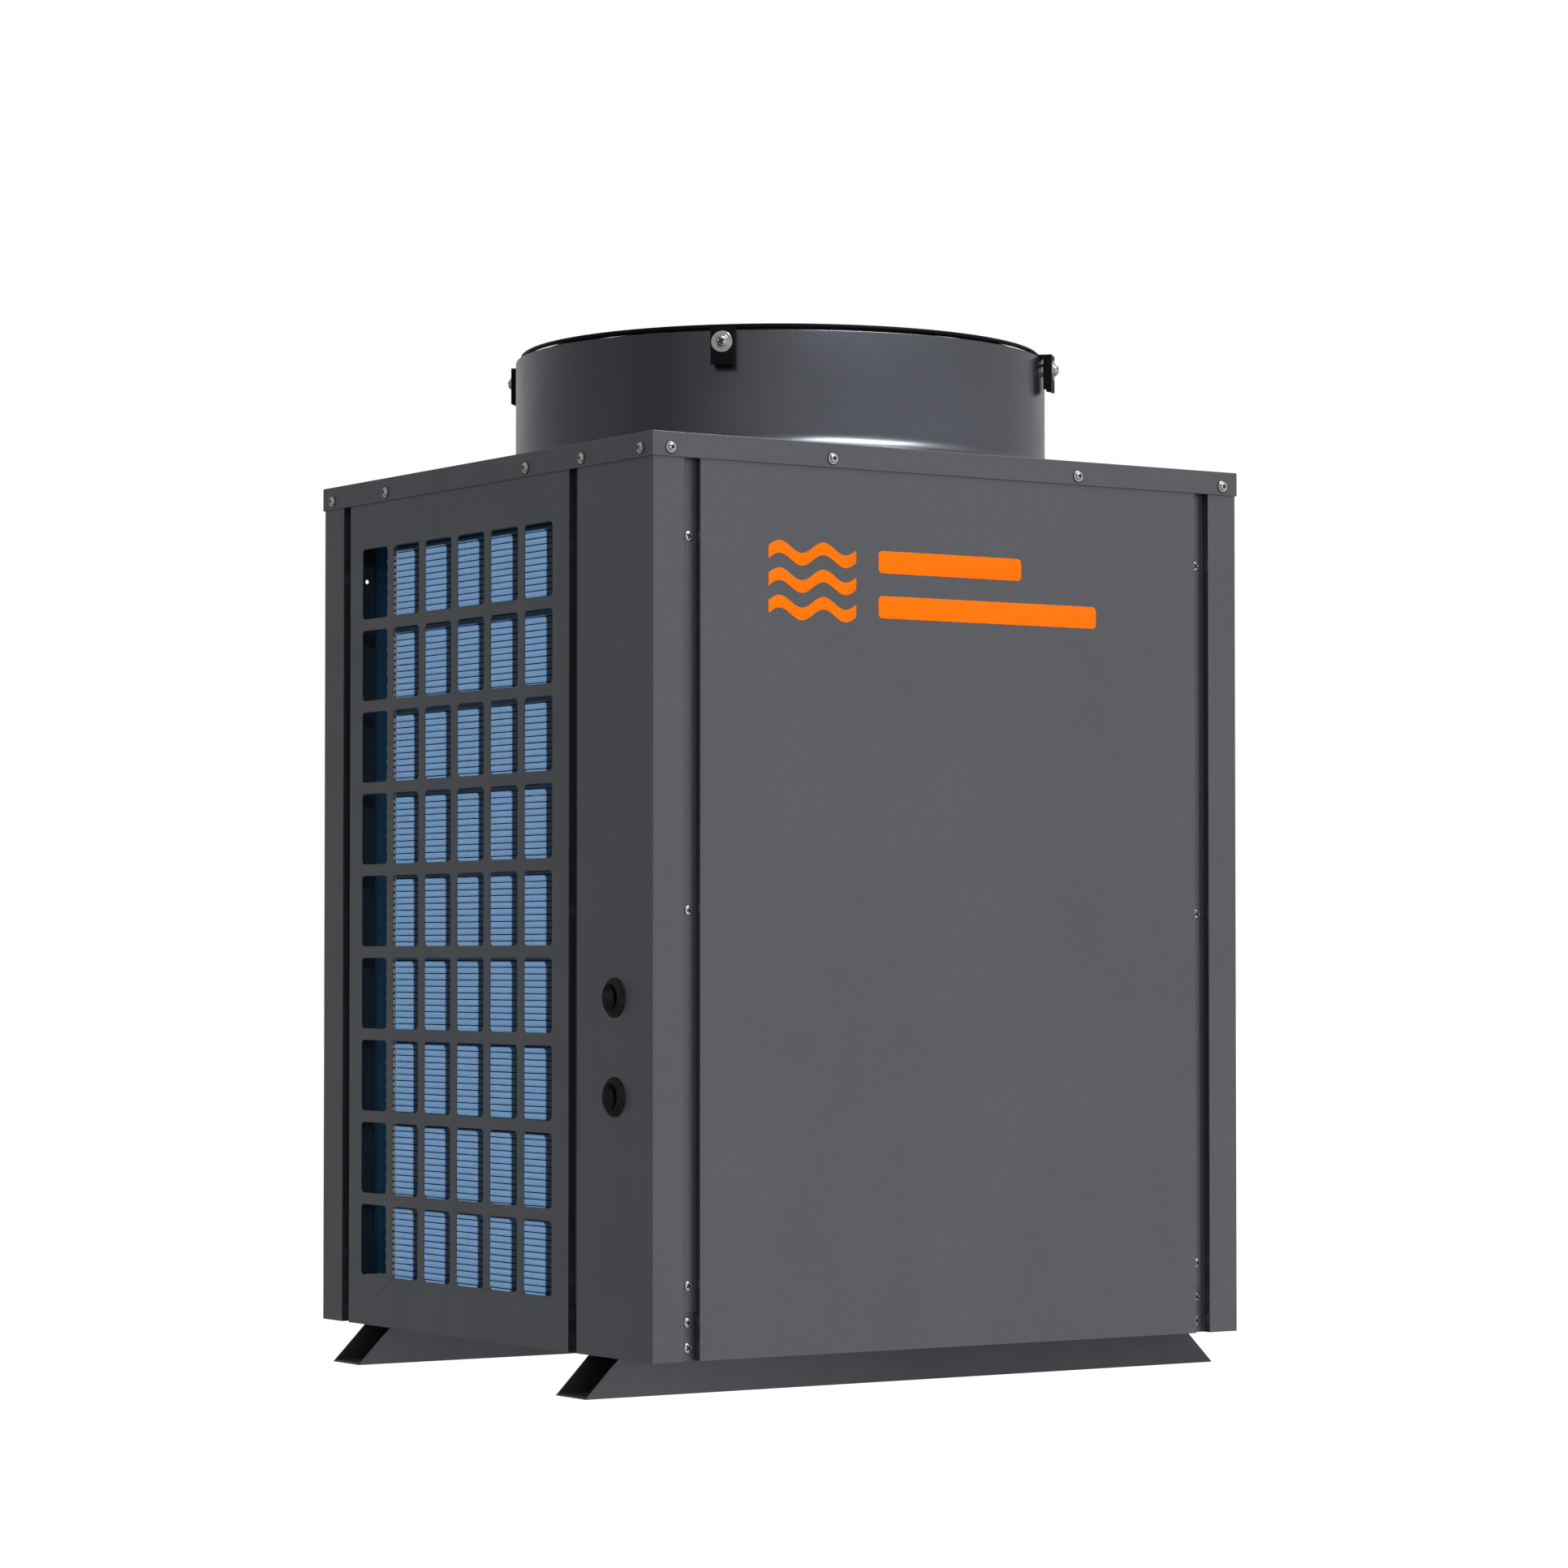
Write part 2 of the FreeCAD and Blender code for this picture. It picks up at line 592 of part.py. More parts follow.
def make_duct():
    """The fan's round shroud: a straight wall that flares into a flat foot on the cover."""
    wall, flare = d.duct_radius, d.duct_flare
    foot_top = top_level + d.duct_sheet
    body = doc.addObject("PartDesign::Body", "Body")
    sketch = new_sketch(body, "XZ_Plane")
    steps = 8
    bend = [(wall + flare * (1 - math.cos(math.pi / 2 * k / steps)),
             foot_top + flare * (1 - math.sin(math.pi / 2 * k / steps))) for k in range(steps + 1)]
    under = [(wall + flare - (flare + d.duct_sheet) * math.cos(math.pi / 2 * k / steps),
              foot_top + flare - (flare + d.duct_sheet) * math.sin(math.pi / 2 * k / steps))
             for k in range(steps + 1)]
    outline = [(wall - d.duct_sheet, rim_level), (wall, rim_level)] + bend
    outline += [(d.duct_foot, foot_top), (d.duct_foot, top_level)] + under[::-1]
    draw_polygon(sketch, outline)
    revolution = body.newObject("PartDesign::Revolution", "Wall")
    revolution.Profile = sketch
    revolution.ReferenceAxis = (sketch, ["V_Axis"])
    revolution.Angle = 360
    body.Tip = revolution
    locate(body, d.fan_x, d.fan_y, 0.0)
    drill = rod((0.0, 0.0, 0.0), 4.5, 20.0, "x")
    drilled = repeated(drill, [tab_placement(angle, d.duct_radius - 10) for angle in TAB_ANGLES])
    named("fan_duct", cut(body, drilled))


def tab_placement(angle, radius):
    """A place on the duct at a bolt's height, its +X pointing straight out from the fan's axis."""
    out = math.radians(angle)
    reach = number_of(radius)
    return placement(d.fan_x + reach * math.cos(out), d.fan_y + reach * math.sin(out),
                     rim_level + d.tab_sheet - d.tab_bolt_drop, turn(angle))


def duct_screw_places():
    """Where screws hold the duct's foot on the cover."""
    reach = number_of(d.duct_foot) - 5
    places = []
    for k in range(8):
        angle = math.radians(45 * k + 22.5)
        places.append(placement(d.fan_x + reach * math.cos(angle), d.fan_y + reach * math.sin(angle),
                                top_level + d.duct_sheet))
    return places


def make_guard():
    """A flat guard: rings welded on eight spokes round a centre disc."""
    low = rim_level + d.tab_sheet
    thin_low = low + d.guard_wire - d.ring_wire
    count = int(number_of((d.guard_radius - d.guard_disc) / d.ring_pitch))
    rings = [guard_ring(d.guard_radius, d.guard_wire, low)]
    rings += [guard_ring(d.guard_radius - d.ring_pitch * k, d.ring_wire, thin_low) for k in range(1, count)]
    bar = block((d.guard_disc - 5, -2.0, 0.0), (d.guard_radius, 2.0, 3.6))
    spokes = DIMENSIONS["spokes"]
    places = [placement(d.fan_x, d.fan_y, low + 0.4, turn(360 / spokes * k + 22.5)) for k in range(spokes)]
    disc = rod((d.fan_x, d.fan_y, low + 0.8), d.guard_disc, 3.6)
    named("fan_guard", join(disc, repeated(bar, places), *rings))


def guard_ring(radius, wire, low):
    """One ring of the guard, square in section."""
    return tube((d.fan_x, d.fan_y, low), radius + wire / 2, radius - wire / 2, wire)


def make_guard_tabs():
    """Bent tabs that carry the guard over the duct's rim, with a spacer, washer, bolt and nut each."""
    drop, gap = d.tab_bolt_drop, d.tab_gap
    half = d.tab_width / 2
    face = gap + d.tab_sheet
    upright = block((gap, -half, drop - d.tab_drop), (face, half, drop))
    shelf_end = d.guard_radius - d.duct_radius - 6
    shelf = block((shelf_end, -half, drop - d.tab_sheet), (gap + 0.5, half, drop))
    hole = rod((-2.0, 0.0, 0.0), 4.5, gap + 10, "x")
    tab = cut(join(upright, shelf), hole)
    spacer = tube((0.0, 0.0, 0.0), 7.5, d.bolt_hole, gap, "x")
    washer = tube((face, 0.0, 0.0), d.washer_radius, d.bolt_hole, 2.0, "x")
    head = rod((face + 2.0, 0.0, 0.0), d.tab_head, 5.0, "x")
    bolt = join(head, rod((-13.0, 0.0, 0.0), d.bolt_radius, face + 16, "x"))
    nut = rod((-8.5, 0.0, 0.0), d.bolt_nut, d.bolt_nut, "x")
    places = [tab_placement(angle, d.duct_radius) for angle in TAB_ANGLES]
    named("guard_tabs", repeated(tab, places))
    named("guard_bolts", repeated(group(spacer, washer, join(bolt, nut)), places))


# ---------------------------------------------------------------- fan and motor

def make_motor_frame():
    """Two channel beams under the cover, welded to a plate that the motor hangs from."""
    beam_low = cap_under - d.beam_height
    beams = []
    for side in (-1, 1):
        web = d.beam_spread * side
        lip = (d.beam_spread - d.beam_width) * side
        path = [(lip, beam_low), (web, beam_low), (web, cap_under), (lip, cap_under)]
        outline = folded_outline(path, d.beam_sheet, side=side)
        beam = extruded(outline, "YZ_Plane", d.beam_length, both_ways=True)
        beams.append(locate(beam, 0.0, d.fan_y, 0.0))
    plate_low = beam_low - d.motor_plate
    reach = d.plate_reach
    plate = block((d.fan_x - reach, d.fan_y - reach, plate_low), (d.fan_x + reach, d.fan_y + reach, beam_low))
    holes = [rod((x, y, plate_low - 1), d.bolt_hole, 12.0) for x, y in motor_bolt_spots()]
    opening = rod((d.fan_x, d.fan_y, plate_low - 1), 30.0, 8.0)
    named("motor_frame", cut(join(plate, *beams), opening, *holes))
    return plate_low


def make_motor(flange_top):
    """A hollow motor shell with two bearings, a shaft, and a rotor core on the shaft."""
    radius, height = d.motor_radius, d.motor_height
    bore, collar = d.bearing_radius, 8
    under = -collar - d.motor_flange
    brim, inside = radius + 20, radius - 5
    shell = [(bore, 0.0), (28.0, 0.0), (28.0, -collar), (brim, -collar), (brim, under), (radius, under),
             (radius, -height + 6), (inside, -height + 6), (inside, -26.0), (bore + 5, -26.0),
             (bore + 5, -20.0), (bore, -20.0)]
    holes = [rod((x, y, flange_top - 10), d.bolt_hole, 14.0) for x, y in motor_bolt_spots()]
    named("motor_shell", cut(turned(shell, d.fan_x, d.fan_y, flange_top + collar), *holes))
    low = flange_top + collar - height
    cap = [(0.0, -6.0), (radius - 12, -6.0), (radius, 0.0), (radius, 6.0), (inside, 6.0), (inside, 4.0),
           (bore + 5, 4.0), (bore + 5, 12.0), (bore, 12.0), (bore, 0.5), (0.0, 0.5)]
    named("motor_end_cap", turned(cap, d.fan_x, d.fan_y, low))
    inner = d.shaft_radius + d.shaft_clearance
    high_bearing = tube((d.fan_x, d.fan_y, flange_top - 10), bore, inner, 12.0)
    low_bearing = tube((d.fan_x, d.fan_y, low + 1), bore, inner, 10.0)
    named("motor_bearings", group(high_bearing, low_bearing))
    hub_top = top_level + d.fan_gap + d.hub_height
    shaft = rod((d.fan_x, d.fan_y, low + 1.5), d.shaft_radius, hub_top + 14 - (low + 1.5))
    named("fan_shaft", shaft)
    named("motor_rotor", tube((d.fan_x, d.fan_y, low + 18), 40.0, d.shaft_radius, height - 54))


def make_fan():
    """A moulded hub cup with a ribbed boss, and four swept blades."""
    low = top_level + d.fan_gap
    height, radius = d.hub_height, d.hub_radius
    boss, boss_low = 20.0, height - 34
    inside, ceiling = radius - 4, height - 5
    cup = [(d.shaft_radius, boss_low), (boss, boss_low), (boss, ceiling), (inside, ceiling), (inside, 0.0),
           (radius, 0.0), (radius, height - 6), (radius - 6, height), (d.shaft_radius, height)]
    hub = turned(cup, d.fan_x, d.fan_y, low)
    hub_shape = shape_of(hub)
    named("fan_hub", hub)
    centre = Vector(number_of(d.fan_x), number_of(d.fan_y), number_of(low) + number_of(height) / 2)
    blade = blade_shape(number_of(radius), number_of(d.blade_tip))
    count = DIMENSIONS["blades"]
    blades = []
    for k in range(count):
        place = FreeCAD.Placement(centre, turn(360 / count * k + 20))
        solid = blade.transformed(place.toMatrix(), True).cut(hub_shape)
        blades.append(max(solid.Solids, key=lambda piece: piece.Volume))
    named("fan_blades", feature(Part.makeCompound(blades)))
    top = low + height
    washer = tube((d.fan_x, d.fan_y, top), 16.0, d.shaft_radius, 2.0)
    nut = locate(extruded(hexagon(24.0), "XY_Plane", 9.0), d.fan_x, d.fan_y, top + 2)
    named("fan_nut", group(washer, cut(nut, rod((d.fan_x, d.fan_y, top + 1), d.shaft_radius, 11.0))))


def blade_shape(root, tip):
    """One blade along +X: cambered sections whose pitch eases off towards the tip."""
    stations = ((root - 3, 96, 38, 0), (root + 70, 132, 31, 14),
                (root + 145, 160, 25, 22), (tip, 176, 20, 16))
    wires = []
    for distance, chord, pitch, sweep in stations:
        wires.append(blade_section(distance, chord, math.radians(pitch), sweep))
    return Part.makeLoft(wires, True, False)


def blade_section(distance, chord, pitch, sweep):
    """A thin arched section across the blade at one distance from the axis."""
    camber, thickness = chord * 0.07, 4.0
    rows = {"top": thickness / 2, "under": -thickness / 2}
    points = {}
    for row, offset in rows.items():
        points[row] = []
        for s in (-0.5, 0.0, 0.5):
            along = s * chord
            rise = camber * (1 - 4 * s * s) + offset * (1 if s == 0 else 0.55)
            y = sweep + along * math.cos(pitch) - rise * math.sin(pitch)
            z = along * math.sin(pitch) + rise * math.cos(pitch)
            points[row].append(Vector(distance, y, z))
    top, under = points["top"], points["under"]
    edges = [Part.Arc(*top).toShape(), Part.LineSegment(top[2], under[2]).toShape(),
             Part.Arc(*under[::-1]).toShape(), Part.LineSegment(under[0], top[0]).toShape()]
    return Part.Wire(edges)


# ---------------------------------------------------------------- refrigerant circuit

def coil_box(side):
    """Lowest and highest corner of one coil's fin pack."""
    near = (half_width - d.coil_setback) * side
    far = (half_width - d.coil_setback - d.coil_thickness) * side
    x_low, x_high = (near, far) if side < 0 else (far, near)
    return (x_low, d.coil_front, d.coil_base), (x_high, d.coil_rear, d.coil_base + d.coil_height)


def make_coils():
    """Two flat coils: fin packs between end plates, return bends behind and headers in front."""
    plates, bends, headers = [], [], []
    bend = number_of(d.bend_pitch) / 4
    hairpin = pipe_bend(bend, number_of(d.bend_reach) - bend, number_of(d.coil_tube))
    for side, label in ((-1, "left_coil_fins"), (1, "right_coil_fins")):
        low, high = coil_box(side)
        named(label, block(low, high))
        middle = (low[0] + high[0]) / 2
        plate_top = high[2] + 6
        plates.append(block((low[0], low[1] - 1.5, tray_top), (high[0], low[1], plate_top)))
        plates.append(block((low[0], high[1], tray_top), (high[0], high[1] + 1.5, plate_top)))
        places = [placement(middle, high[1] + 1.5, low[2] + 10 + d.bend_pitch * k)
                  for k in range(DIMENSIONS["bends"])]
        bends.append(repeated(hairpin, places))
        header = rod((middle, low[1] - 27, low[2] + 20), 12.0, d.coil_height - 60)
        feeds = [rod((middle, low[1] - 20, low[2] + 60 + 135 * k), 4.0, 18.5, "y") for k in range(7)]
        headers.append(join(header, *feeds))
    named("coil_plates", group(*plates))
    named("return_bends", group(*bends))
    named("coil_headers", group(*headers))


def pipe_bend(radius, leg, tube_radius):
    """A U-shaped return bend in the YZ plane, its two legs starting on y = 0."""
    low, high = Vector(0, leg, 0), Vector(0, leg, 2 * radius)
    edges = [Part.LineSegment(Vector(0, 0, 0), low).toShape(),
             Part.Arc(low, Vector(0, leg + radius, radius), high).toShape(),
             Part.LineSegment(high, Vector(0, 0, 2 * radius)).toShape()]
    ring = Part.Wire([Part.makeCircle(tube_radius, Vector(0, 0, 0), AXES["y"])])
    return feature(Part.Wire(edges).makePipeShell([ring], True, False))


def make_compressor():
    """A hermetic scroll compressor on its foot plate, rubber feet and bolts."""
    x, y, radius = d.compressor_x, d.compressor_y, d.compressor_radius
    base = tray_top + d.foot_rubber
    body_top = base + 4 + d.compressor_height
    shoulder, dome = d.compressor_height - 30, 34
    shell = [(0.0, 4.0), (radius, 4.0), (radius, shoulder)]
    shell += [(radius * math.cos(math.pi / 12 * k), shoulder + dome * math.sin(math.pi / 12 * k))
              for k in range(1, 6)]
    shell += [(0.0, d.compressor_height + 4)]
    body = turned(shell, x, y, base)
    stub = rod((x, y, body_top - 4), 8.0, 22.0)
    suction = rod((x + radius - 6, y - 30, base + 250), 11.0, 22.0, "x")
    lap = radius + 2
    seam = turned([(radius - 1, 300.0), (lap, 300.0), (lap, 306.0), (radius - 1, 306.0)], x, y, base)
    reach = d.foot_plate
    plate = block((x - reach, y - reach, base), (x + reach, y + reach, base + 4))
    spots = compressor_bolt_spots()
    drilled = cut(plate, *[rod((px, py, base - 1), 9.0, 6.0) for px, py in spots])
    named("compressor", join(drilled, body, stub, suction, seam))
    foot = turned([(5.0, 0.0), (16.0, 0.0), (14.0, d.foot_rubber), (5.0, d.foot_rubber)])
    named("compressor_rubbers", repeated(foot, [placement(px, py, tray_top) for px, py in spots]))
    terminal = block((x - 32, y - radius - 34, base + 150), (x + 32, y - radius + 10, base + 235))
    bite = rod((x, y, base + 140), radius, 110.0)
    named("compressor_terminal_box", cut(terminal, bite))
    return body_top + 18, base + 250


def make_accumulator():
    """The suction accumulator: a domed can with two stubs on top and a stand below."""
    x, y, radius, height = d.accumulator_x, d.accumulator_y, d.accumulator_radius, d.accumulator_height
    can = [(0.0, 0.0), (radius * 0.8, 0.0), (radius, 14.0), (radius, height - 16),
           (radius * 0.8, height), (0.0, height)]
    body = turned(can, x, y, tray_top + 20)
    top = tray_top + 20 + height
    stubs = [rod((x + 22 * way, y, top - 4), 11.0, 18.0) for way in (-1, 1)]
    stand = tube((x, y, tray_top), radius * 0.8, radius * 0.8 - 3, 20.0)
    named("accumulator", join(body, stand, *stubs))
    return top + 14


def make_exchanger():
    """The water heat exchanger: a moulded vessel, domed ends, water pipes to the rear unions."""
    x, y, radius, height = d.exchanger_x, d.exchanger_y, d.exchanger_radius, d.exchanger_height
    base = tray_top + 30
    levels = (d.water_low, d.water_high)
    end_radius = radius * 0.7
    vessel = [(0.0, 0.0), (end_radius, 0.0), (radius, 30.0), (radius, height - 30), (end_radius, height),
              (0.0, height)]
    body = turned(vessel, x, y, base)
    stubs = [rod((x, y + radius - 10, level), d.water_pipe, 30.0, "y") for level in levels]
    gas = rod((x - 40, y, base + height - 3), 9.0, 18.0)
    liquid = rod((x + 40, y, base + height - 3), 7.0, 18.0)
    bores = [rod((x, y + radius + 1, level), d.water_bore, 30.0, "y") for level in levels]
    foot = tube((x, y, tray_top), end_radius, end_radius - 4, 30.0)
    named("water_exchanger", cut(join(body, foot, gas, liquid, *stubs), *bores))
    return base + height + 15


def make_water_line():
    """Water pipes with a collar at the rear panel and, outside it, the two screwed unions."""
    x = d.exchanger_x
    start = d.exchanger_y + d.exchanger_radius + 20
    end = half_depth - 14
    nut_start, nut_length, tail_length = 14.0, 24.0, 22.0
    grip = rod((d.union_radius - 1.5, nut_start, 0.0), 4.5, nut_length, "y")
    pipes, unions = [], []
    for level in (d.water_low, d.water_high):
        collar = tube((x, end, level), 31.0, d.water_bore, 28.0, "y")
        pipes.append(join(tube((x, start, level), d.water_pipe, d.water_bore, end - start, "y"), collar))
        ring = tube((x, half_depth + nut_start, level), d.union_radius, d.union_bore, nut_length, "y")
        tail_start = half_depth + nut_start + nut_length
        tail = tube((x, tail_start, level), 30.0, d.union_bore, tail_length, "y")
        grips = repeated(grip, [placement(x, half_depth, level, turn(45 * k, "y")) for k in range(8)])
        unions.append(join(ring, tail, grips))
    named("water_pipes", group(*pipes))
    named("union_sockets", group(*unions))
    return start, end


def make_flow_switch(start, end):
    """A paddle switch on the low water pipe: a head, its pin, and a hinged paddle in the stream."""
    x, level = d.exchanger_x, d.water_low
    y = (start + end) / 2
    head = block((x - 22, y - 28, level + d.water_pipe + 12), (x + 22, y + 28, level + d.water_pipe + 62))
    neck = rod((x, y, level + d.water_pipe - 1.5), 13.0, 14.0)
    saddle = rod((x, y - 20, level), d.water_pipe, 40.0, "y")
    pin_z = level + 13
    named("flow_switch", group(cut(join(head, neck), saddle), rod((x - 19, y, pin_z), 1.5, 38.0, "x")))
    hub = rod((x - 9, y, pin_z), 3.2, 18.0, "x")
    blade = block((x - 9, y - 0.8, pin_z - 29), (x + 9, y + 0.8, pin_z))
    bore = rod((x - 10, y, pin_z), 1.56, 20.0, "x")
    named("flow_paddle", cut(join(hub, blade), bore))


def make_reversing_valve():
    """A four-way valve: a level barrel, one port below, three above and a solenoid behind."""
    x, y, z, step = d.valve_x, d.valve_y, d.valve_z, d.valve_port
    barrel = rod((x - 60, y, z), 16.0, 120.0, "x")
    inlet = rod((x, y, z - 34), d.middle_pipe, 30.0)
    outlets = [rod((x + step * k, y, z + 8), d.thick_pipe, 30.0) for k in (-1, 0, 1)]
    solenoid = block((x - 18, y + 16, z - 16), (x + 18, y + 50, z + 16))
    named("reversing_valve", group(join(barrel, inlet, *outlets), solenoid))
    return z - 34, z + 38


def make_copper_lines(discharge_top, suction_level, accumulator_top, exchanger_top):
    """The reversing valve and the copper lines between it, the tanks and the left coil."""
    cx, cy = d.compressor_x, d.compressor_y
    ax, ay = d.accumulator_x, d.accumulator_y
    gas_x, gas_y = d.exchanger_x - 40, d.exchanger_y
    vx, vy = d.valve_x, d.valve_y
    low_port, high_port = make_reversing_valve()
    turn_z = d.discharge_turn
    named("discharge_pipe", pipe([(cx, cy, discharge_top), (cx, cy, turn_z), (vx, vy, turn_z),
                                  (vx, vy, low_port)], d.middle_pipe, 14))
    crossing = d.suction_high
    to_tank = pipe([(vx, vy, high_port), (vx, vy, crossing), (ax - 22, ay, crossing),
                    (ax - 22, ay, accumulator_top)], d.thick_pipe, 24)
    side_y, bend_y, drop_x, turn_z = cy - 30, cy + 30, ax - 60, d.suction_turn
    to_pump = pipe([(ax + 22, ay, accumulator_top), (ax + 22, ay, turn_z), (ax + 22, bend_y, turn_z),
                    (drop_x, bend_y, turn_z), (drop_x, bend_y, suction_level),
                    (drop_x, side_y, suction_level),
                    (cx + d.compressor_radius + 16, side_y, suction_level)], d.thick_pipe, 18)
    named("suction_pipes", group(to_tank, to_pump))
    port_x, crossing = vx + d.valve_port, d.hot_gas_high
    named("hot_gas_pipe", pipe([(port_x, vy, high_port), (port_x, vy, crossing), (gas_x, gas_y, crossing),
                                (gas_x, gas_y, exchanger_top)], d.thick_pipe, 24))
    low, high = coil_box(-1)
    header_x, header_y = (low[0] + high[0]) / 2, low[1] - 27
    port_x, crossing = vx - d.valve_port, d.coil_gas_high
    named("coil_gas_pipe", pipe([(port_x, vy, high_port), (port_x, vy, crossing),
                                 (port_x, header_y, crossing), (header_x + 12, header_y, crossing)],
                                d.middle_pipe, 16))


def make_liquid_parts(exchanger_top):
    """The filter drier and the expansion valve above the exchanger's liquid port."""
    x, y = d.exchanger_x + 40, d.exchanger_y
    stub, can, drier_length = 7.0, 22.0, 130.0
    drier = [(0.0, 0.0), (stub, 0.0), (stub, 10.0), (can, 22.0), (can, drier_length - 22),
             (stub, drier_length - 10), (stub, drier_length), (0.0, drier_length)]
    named("filter_drier", turned(drier, x, y, exchanger_top))
    body_low = exchanger_top + drier_length
    level = body_low + 17
    body = rod((x, y, body_low), 13.0, 34.0)
    head = rod((x, y, body_low + 34), 20.0, 16.0)
    side_port = rod((x - 34, y, level), 6.0, 24.0, "x")
    named("expansion_valve", join(body, head, side_port))
    low, high = coil_box(-1)
    header_x, header_y = (low[0] + high[0]) / 2, low[1] - 27
    named("liquid_pipe", pipe([(x - 34, y, level), (x - 70, y, level), (x - 70, 60, level), (-200, 60, level),
                               (-300, -120, level), (-300, header_y, level),
                               (header_x + 12, header_y, level)], d.thin_pipe, 14))


# ---------------------------------------------------------------- electrical box

def make_electrics():
    """A box hung behind the front panel with board, contactor, terminals and capacitor inside."""
    left, right, front = d.box_left, d.box_right, d.box_front
    back = front + d.box_depth
    low, high, wall = d.box_low, d.box_high, d.skin
    inside = back - wall
    shell = cut(block((left, front, low), (right, back, high)),
                block((left + wall, front - 1, low + wall), (right - wall, inside, high - wall)))
    posts = [rod((left + 40 + 200 * a, inside - 10, low + 100 + 185 * b), 3.0, 10.5, "y")
             for a in (0, 1) for b in (0, 1)]
    reach = panel_edge_x - d.tuck
    arms = [block((near, back - 2, low + 40), (far, back, high - 40))
            for near, far in ((-reach, left), (right, reach))]
    named("electrical_box", join(shell, *posts, *arms))
    named("electrical_cover", block((left - 2, front - wall, low - 2), (right + 2, front, high + 2)))
    board_face = inside - 11.6
    board = block((left + 30, board_face, low + 90), (left + 250, inside - 10, high - 30))
    relays = [block((left + 50 + 34 * k, inside - 30, high - 80), (left + 70 + 34 * k, board_face, high - 50))
              for k in range(5)]
    chips = [block((left + 60 + 60 * k, inside - 16, low + 130), (left + 90 + 60 * k, board_face, low + 160))
             for k in range(3)]
    named("control_board", join(board, *relays, *chips))
    make_contactor(right - 150, inside, high - 130)
    strip = block((left + 40, inside - 34, low + 20), (left + 240, inside, low + 58))
    slots = [block((left + 44 + 20 * k, inside - 36, low + 30), (left + 58 + 20 * k, inside - 26, low + 60))
             for k in range(10)]
    named("terminal_block", cut(strip, *slots))
    named("run_capacitor", rod((right - 60, inside - 45, low + wall), 20.0, 105.0))


def make_contactor(x, back, z):
    """A contactor: a moulded body and, in its front window, the armature that pulls in by 4 mm."""
    front = back - 62
    body = block((x, front, z), (x + 48, back, z + 84))
    window = block((x + 12, front - 1, z + 27), (x + 36, front + 18, z + 57))
    steps = [block((x - 1, front - 1, level), (x + 49, front + 16, level + 16)) for level in (z - 1, z + 69)]
    named("contactor_body", cut(body, window, *steps))
    armature_back = front + 16 - d.contactor_travel
    armature = block((x + 12.5, front - 4.5, z + 27.5), (x + 35.5, armature_back, z + 56.5))
    named("contactor_armature", armature)


# ---------------------------------------------------------------- the whole unit

def build_unit():
    make_rail("front_rail", -1)
    make_rail("rear_rail", 1)
    make_tray()
    make_frame_bolts()
    make_drain()
    make_posts()
    make_front_panel()
    make_rear_panel()
    make_grille_panel("left_grille_panel", -1)
    make_grille_panel("right_grille_panel", 1)
    make_top_cover()
    make_panel_screws()
    make_cap_screws()
    make_grommets()
    make_duct()
    make_guard()
    make_guard_tabs()
    make_motor(make_motor_frame())
    make_fan()
    make_coils()
    discharge_top, suction_level = make_compressor()
    accumulator_top = make_accumulator()
    exchanger_top = make_exchanger()
    make_flow_switch(*make_water_line())
    make_copper_lines(discharge_top, suction_level, accumulator_top, exchanger_top)
    make_liquid_parts(exchanger_top)
    make_electrics()


def write_subparts():
    """Check every object, then write one file for each sub-part."""
    doc.recompute()
    for thing in doc.Objects:
        if {"Invalid", "Error"} & set(thing.State):
            raise RuntimeError(f"{thing.Label} failed: {thing.State}")
    for part in subparts:
        if part.Shape.isNull() or not part.Shape.isValid():
            raise RuntimeError(f"{part.Label} has no valid shape")
    os.makedirs("parts", exist_ok=True)
    for part in subparts:
        part.Shape.exportStep(f"parts/{part.Label}.step")
        print(f"{part.Label}: {len(part.Shape.Solids)} solids, {part.Shape.Volume / 1000:.1f} cm3")
    print(len(subparts), "sub-parts")


build_unit()
write_subparts()
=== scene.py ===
"""Looks of the pool heat pump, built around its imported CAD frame. Lengths are metres, +Z up."""

import math
import random

import bmesh
import bpy
from mathutils import Matrix, Vector


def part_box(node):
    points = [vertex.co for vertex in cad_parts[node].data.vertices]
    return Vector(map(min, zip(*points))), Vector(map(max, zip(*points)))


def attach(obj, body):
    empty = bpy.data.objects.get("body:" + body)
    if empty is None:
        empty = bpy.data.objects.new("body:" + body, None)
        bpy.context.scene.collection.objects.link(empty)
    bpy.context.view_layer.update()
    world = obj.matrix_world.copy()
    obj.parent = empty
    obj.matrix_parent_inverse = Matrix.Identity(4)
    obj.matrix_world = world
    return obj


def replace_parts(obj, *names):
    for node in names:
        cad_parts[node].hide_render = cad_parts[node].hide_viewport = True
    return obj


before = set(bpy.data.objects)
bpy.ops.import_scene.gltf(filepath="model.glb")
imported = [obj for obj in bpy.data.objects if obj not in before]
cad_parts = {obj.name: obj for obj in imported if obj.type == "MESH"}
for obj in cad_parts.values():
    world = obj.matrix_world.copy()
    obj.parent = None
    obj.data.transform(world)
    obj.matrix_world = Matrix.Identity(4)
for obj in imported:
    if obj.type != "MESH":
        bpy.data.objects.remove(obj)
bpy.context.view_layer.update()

MM = 0.001
TAU = 2 * math.pi
CABINET = "cabinet"

# ---------------------------------------------------------------- places taken from the frame

cap_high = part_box("top_cover")[1]
duct_low, duct_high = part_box("fan_duct")
guard_low, guard_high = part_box("fan_guard")
panel_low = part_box("front_panel")[0]
fan_axis = Vector(((duct_low.x + duct_high.x) / 2, (duct_low.y + duct_high.y) / 2, 0.0))
deck_level = cap_high.z


# ---------------------------------------------------------------- camera

